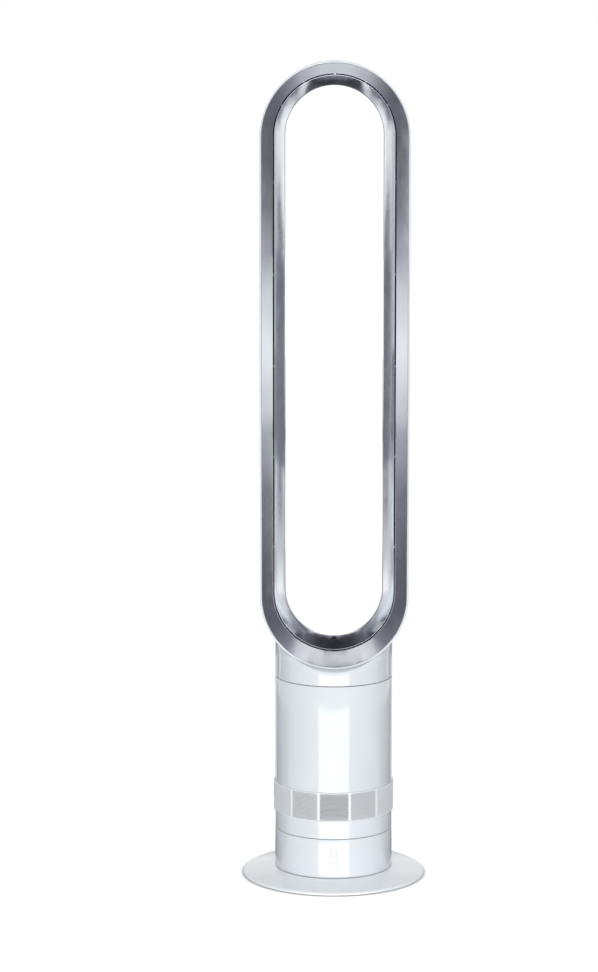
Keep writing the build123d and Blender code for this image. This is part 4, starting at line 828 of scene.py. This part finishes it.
def make_world():
    """White where it is seen or mirrored, and a dimmer, bluish light for the rest."""
    world = bpy.data.worlds.new("studio")
    bpy.context.scene.world = world
    world.use_nodes = True
    nodes = world.node_tree.nodes
    links = world.node_tree.links
    nodes.clear()
    output = nodes.new("ShaderNodeOutputWorld")
    mix = nodes.new("ShaderNodeMixShader")
    soft = nodes.new("ShaderNodeBackground")
    soft.inputs["Color"].default_value = (*AMBIENT_TINT, 1)
    soft.inputs["Strength"].default_value = AMBIENT
    white = nodes.new("ShaderNodeBackground")
    white.inputs["Color"].default_value = (1, 1, 1, 1)
    white.inputs["Strength"].default_value = 1.0
    links.new(lit_for_seen_rays(nodes, links), mix.inputs["Fac"])
    links.new(soft.outputs[0], mix.inputs[1])
    links.new(white.outputs[0], mix.inputs[2])
    links.new(mix.outputs[0], output.inputs["Surface"])


def painted_foot_shade(nodes, links, place):
    """Nought under the foot, one a little outside it. Multiplied into the floor's glow, it keeps the
    foot's own shadow dark and paints a shade round the foot just outside its rim.
    """
    flat = nodes.new("ShaderNodeVectorMath")
    flat.operation = "MULTIPLY"
    flat.inputs[1].default_value = (1, 1, 0)
    length = nodes.new("ShaderNodeVectorMath")
    length.operation = "LENGTH"
    spread = nodes.new("ShaderNodeMapRange")
    spread.interpolation_type = "SMOOTHSTEP"
    spread.inputs["From Min"].default_value = (BASE_RADIUS - PAINTED_SHADE_INSIDE) * MM
    spread.inputs["From Max"].default_value = (BASE_RADIUS + PAINTED_SHADE_OUTSIDE) * MM
    links.new(place, flat.inputs[0])
    links.new(flat.outputs[0], length.inputs[0])
    links.new(length.outputs["Value"], spread.inputs["Value"])
    return spread.outputs["Result"]


def floor_material():
    """Near-white paper that also glows for the camera and, less, in reflections; round the foot the glow
    fades out, a painted shade.
    """
    material = bpy.data.materials.new("studio_floor")
    nodes, links, shader, place = node_set(material)
    clouds = noise(nodes, links, place, 3.0)
    paper = tinted(nodes, links, clouds, (0.86, 0.86, 0.86), (0.88, 0.88, 0.88))
    links.new(paper, shader.inputs["Base Color"])
    shader.inputs["Roughness"].default_value = 0.9
    shader.inputs["Specular IOR Level"].default_value = 0.1
    shader.inputs["Emission Color"].default_value = (1, 1, 1, 1)
    ray = nodes.new("ShaderNodeLightPath").outputs
    mirrored = calculated(nodes, links, "MULTIPLY", ray["Is Glossy Ray"], FLOOR_MIRRORED)
    seen = calculated(nodes, links, "MULTIPLY_ADD", ray["Is Camera Ray"], FLOOR_SEEN, mirrored)
    # Painted shade: the floor's glow fades out under the foot and just outside it.
    painted_shade_fade = painted_foot_shade(nodes, links, place)
    glow = calculated(nodes, links, "MULTIPLY", seen, painted_shade_fade)
    links.new(glow, shader.inputs["Emission Strength"])
    return material


def make_floor():
    """A floor that reaches past the camera."""
    reach = FLOOR_REACH * MM
    maker = bmesh.new()
    corners = ((-reach, -reach), (reach, -reach), (reach, reach), (-reach, reach))
    maker.faces.new([maker.verts.new((x, y, 0)) for x, y in corners])
    floor = finish_mesh("studio_floor", maker)
    floor.data.materials.append(floor_material())


def make_sun():
    """A soft sun from straight before the fan, which shows in no reflection."""
    lamp = bpy.data.lights.new("front_sun", "SUN")
    lamp.energy = SUN_STRENGTH
    lamp.angle = radians(SUN_SPREAD)
    sun = bpy.data.objects.new("front_sun", lamp)
    bpy.context.scene.collection.objects.link(sun)
    sun.visible_glossy = False
    elevation = radians(SUN_ELEVATION)
    towards = Vector((0, -cos(elevation), sin(elevation)))
    sun.rotation_euler = towards.to_track_quat("Z", "Y").to_euler()


def dim_tint(value):
    """A dim part of the studio is a little violet, as in the photograph, and a bright one neutral."""
    dim = max(0.0, 1.0 - value)
    return [1 + change * dim for change in DARK_TINT]


def studio_card(name, corners, stops, axis="Z", one_sided=False):
    """A card that only reflections see; stops are (place in millimetres, brightness) along an axis."""
    maker = bmesh.new()
    maker.faces.new([maker.verts.new(Vector(point) * MM) for point in corners])
    card = finish_mesh(name, maker)
    for flag in ("visible_camera", "visible_diffuse", "visible_transmission", "visible_shadow"):
        setattr(card, flag, False)
    card.data.materials.append(card_material(name, stops, axis, one_sided))


def card_material(name, stops, axis, one_sided):
    """A glow that is graded along an axis, on both sides of the card or on the front one only."""
    material = bpy.data.materials.new(name)
    material.use_nodes = True
    nodes = material.node_tree.nodes
    links = material.node_tree.links
    nodes.clear()
    output = nodes.new("ShaderNodeOutputMaterial")
    glow = nodes.new("ShaderNodeEmission")
    glow.inputs["Strength"].default_value = max(value for _, value in stops)
    links.new(graded(nodes, links, stops, axis), glow.inputs["Color"])
    seen = glow.outputs[0]
    if one_sided:
        seen = front_only(nodes, links, seen)
    links.new(seen, output.inputs["Surface"])
    return material


def graded(nodes, links, stops, axis):
    """A shade from the stops along an axis, as a share of the brightest one."""
    place = nodes.new("ShaderNodeTexCoord")
    split = nodes.new("ShaderNodeSeparateXYZ")
    spread = nodes.new("ShaderNodeMapRange")
    ramp = nodes.new("ShaderNodeValToRGB")
    low = stops[0][0] * MM
    high = stops[-1][0] * MM
    spread.inputs["From Min"].default_value = low
    spread.inputs["From Max"].default_value = high
    links.new(place.outputs["Object"], split.inputs[0])
    links.new(split.outputs[axis], spread.inputs["Value"])
    links.new(spread.outputs["Result"], ramp.inputs["Fac"])
    ramp.color_ramp.interpolation = "EASE"
    brightest = max(value for _, value in stops)
    elements = ramp.color_ramp.elements
    while len(elements) < len(stops):
        elements.new(0.5)
    for element, (where, value) in zip(elements, stops):
        element.position = (where * MM - low) / (high - low)
        element.color = (*(part * value / brightest for part in dim_tint(value)), 1)
    return ramp.outputs["Color"]


def front_only(nodes, links, glow):
    """Lets rays that meet the back of a card pass through it."""
    clear = nodes.new("ShaderNodeBsdfTransparent")
    facing = nodes.new("ShaderNodeNewGeometry")
    mixer = nodes.new("ShaderNodeMixShader")
    links.new(facing.outputs["Backfacing"], mixer.inputs["Fac"])
    links.new(glow, mixer.inputs[1])
    links.new(clear.outputs[0], mixer.inputs[2])
    return mixer.outputs[0]


# Card outlines are (across, height) or (across, depth), and stops (place, brightness).


def box_outline(near, far, low, high):
    """The corners of a rectangle."""
    return ((near, low), (far, low), (far, high), (near, high))


def both_sides(half):
    """Pairs that start with a place across, mirrored about the middle and put before themselves."""
    return [(-across, other) for across, other in reversed(half) if across] + list(half)


def upright_card(name, side, outline, stops, axis="Z", depth=CARD_DEPTH):
    """A card that stands behind the fan, from the (across, height) outline of the right-hand one."""
    corners = [(across * side, depth, height) for across, height in outline]
    studio_card(name, corners, stops, axis)


def level_card(name, outline, height, stops, one_sided=False):
    """A card that lies level and is graded from left to right, from its (across, depth) outline."""
    corners = [(across, depth, height) for across, depth in outline]
    studio_card(name, corners, stops, "X", one_sided)


def outer_band_cards(side, name):
    """Cards for the silver front band: bright half way up, dark towards the turns."""
    upright_card(
        f"card_front_band_{name}",
        side,
        box_outline(BAND_CARD_NEAR, BAND_CARD_FAR, BAND_CARD_LOW, BAND_CARD_HIGH),
        (
            (320, 0.15),
            (421, 0.25),
            (488, 0.5),
            (554, 0.95),
            (620, 1.2),
            (686, 0.95),
            (751, 0.5),
            (817, 0.24),
            (870, 0.15),
        ),
    )
    upright_card(
        f"card_low_turn_{name}",
        side,
        box_outline(BAND_CARD_FAR, TURN_CARD_FAR, BAND_CARD_LOW, 560),
        ((230, 0.14), (400, 0.16), (494, 0.28), (560, 0.6)),
    )
    turn_stops = [(30, 0.8), (60, 0.65), (92, 0.32), (122, 0.17), (143, 0.14)]
    if side < 0:
        turn_stops = [(-place, value) for place, value in reversed(turn_stops)]
    upright_card(
        f"card_high_turn_{name}",
        side,
        box_outline(30, BAND_CARD_NEAR, 745, 910),
        turn_stops,
        axis="X",
    )


def inner_band_cards(side, name):
    """Cards for the silver inner band: dim half way up, bright towards both ends."""
    upright_card(
        f"card_inner_band_{name}",
        side,
        (
            (294, 180),
            (350, 180),
            (350, CARD_TOP),
            (268, CARD_TOP),
            (268, SHOULDER_HIGH),
            (294, SHOULDER_HIGH),
        ),
        (
            (273, 1.6),
            (341, 0.8),
            (408, 0.34),
            (475, 0.24),
            (743, 0.22),
            (790, 0.22),
            (815, 0.42),
            (839, 0.8),
            (870, 1.1),
            (910, 1.25),
        ),
    )
    upright_card(
        f"card_inner_surround_{name}",
        side,
        box_outline(TURN_CARD_FAR, 380, 450, 735),
        ((450, 0.4), (500, 0.22), (690, 0.22), (735, 0.4)),
        depth=SURROUND_DEPTH,
    )


def high_inner_cards(side, name):
    """Bright cards for the inner band's upper ends, where it starts its turn."""
    upright_card(
        f"card_high_inner_{name}",
        side,
        (
            (205, SHOULDER_HIGH),
            (276, SHOULDER_HIGH),
            (303, 815),
            (303, CARD_TOP),
            (205, CARD_TOP),
        ),
        ((SHOULDER_HIGH, 1.15), (800, 1.4), (CARD_TOP, 1.25)),
        depth=HIGH_INNER_DEPTH,
    )
    upright_card(
        f"card_high_shoulder_{name}",
        side,
        box_outline(BAND_CARD_FAR, TURN_CARD_FAR, SHOULDER_LOW, SHOULDER_HIGH),
        ((SHOULDER_LOW, 0.7), (SHOULDER_HIGH, 1.0)),
    )


def middle_cards():
    """Cards for the middle of the loop's turns: one that is bright low down, and two dark level ones."""
    upright_card(
        "card_low_middle",
        1,
        box_outline(-MIDDLE_CARD_REACH, MIDDLE_CARD_REACH, 370, 620),
        ((370, 1.9), (435, 1.7), (457, 1.2), (490, 0.75), (514, 0.5), (556, 0.35), (620, 0.22)),
    )
    stops = both_sides(((0, 0.02), (110, 0.04), (229, 0.08), (390, 0.3)))
    crown = (
        (-410, 240),
        (410, 240),
        (410, 390),
        (150, 350),
        (0, 335),
        (-150, 350),
        (-410, 390),
    )
    level_card("card_under_crown", crown, CROWN_HEIGHT, stops)
    level_card("card_overhead", box_outline(-390, 390, 150, 420), OVERHEAD_HEIGHT, stops)


def side_cards(side, name):
    """A grey wedge low over the floor beside the fan, and a far wall beyond it."""
    wedge = []
    for turn, radius in (
        (FLOOR_CARD_FIRST, FLOOR_CARD_NEAR),
        (FLOOR_CARD_FIRST, FLOOR_CARD_FAR),
        (FLOOR_CARD_LAST, FLOOR_CARD_FAR),
        (FLOOR_CARD_LAST, FLOOR_CARD_NEAR),
    ):
        angle = radians(turn)
        wedge.append((side * radius * sin(angle), -radius * cos(angle)))
    stops = ((-FLOOR_CARD_FAR, FLOOR_CARD_GREY), (FLOOR_CARD_FAR, FLOOR_CARD_GREY))
    level_card(f"card_floor_{name}", wedge, FLOOR_CARD_HEIGHT, stops)
    front, back = [(side * across, depth) for across, depth in (FAR_CARD_FRONT, FAR_CARD_BACK)]
    corners = (
        (*front, FAR_CARD_LOW),
        (*back, FAR_CARD_LOW),
        (*back, FAR_CARD_HIGH),
        (*front, FAR_CARD_HIGH),
    )
    studio_card(f"card_far_{name}", corners, ((0, 1.2), (600, 1.1), (FAR_CARD_HIGH, 0.8)))


def bowl_card():
    """A dark level card just above the loop's lower turn; rays that meet its back pass through."""
    half = ((28, 42), (32, 49), (50, 49), (56, 46), (74, 42), (74, -15))
    stops = both_sides(((0, 0.035), (24, 0.05), (49, 0.13), (74, 0.35)))
    level_card("card_low_bowl", both_sides(half), BOWL_HEIGHT, stops, one_sided=True)


def back_card():
    """A far wall straight behind the fan."""
    outline = box_outline(-BACK_CARD_REACH, BACK_CARD_REACH, BACK_CARD_LOW, BACK_CARD_HIGH)
    stops = ((BACK_CARD_LOW, BACK_CARD_LIGHT), (BACK_CARD_HIGH, BACK_CARD_LIGHT))
    upright_card("card_far_back", 1, outline, stops, depth=BACK_CARD_DEPTH)


def front_card():
    """The bright wedge before the fan that makes the strip down the body."""
    half_width = FRONT_CARD_LENGTH * tan(radians(FRONT_CARD_TURN))
    corners = (
        (0, FRONT_CARD_TIP, FRONT_CARD_HEIGHT),
        (-half_width, FRONT_CARD_END, FRONT_CARD_HEIGHT),
        (half_width, FRONT_CARD_END, FRONT_CARD_HEIGHT),
    )
    stops = ((FRONT_CARD_END, FRONT_CARD_LIGHT), (0, FRONT_CARD_LIGHT))
    studio_card("card_front", corners, stops, axis="Y")


def make_cards():
    """Graded cards behind the fan for the silver bands, and a bright strip before it for the body."""
    sides = ((-1, "left"), (1, "right"))
    for side, name in sides:
        outer_band_cards(side, name)
        inner_band_cards(side, name)
        high_inner_cards(side, name)
    middle_cards()
    for side, name in sides:
        side_cards(side, name)
    bowl_card()
    back_card()
    front_card()


def make_camera():
    """The photograph's view: from a little left, 1.1 m up, looking slightly down."""
    data = bpy.data.cameras.new("camera")
    data.sensor_width = SENSOR_WIDTH
    data.lens = FOCAL_LENGTH
    data.clip_end = 200.0
    camera = bpy.data.objects.new("camera", data)
    bpy.context.scene.collection.objects.link(camera)
    camera.location = Vector(CAMERA_PLACE) * MM
    camera.rotation_euler = (radians(90 - CAMERA_DIP), 0, 0)
    bpy.context.scene.camera = camera


materials = make_materials()
dress_cad_nodes()
make_loop()
make_collar()
make_body_shell()
make_lower_ring()
make_control_ring()
make_foot()
make_digit()
make_grille()
make_world()
make_floor()
make_sun()
make_cards()
make_camera()
bpy.context.scene.view_settings.view_transform = "Standard"
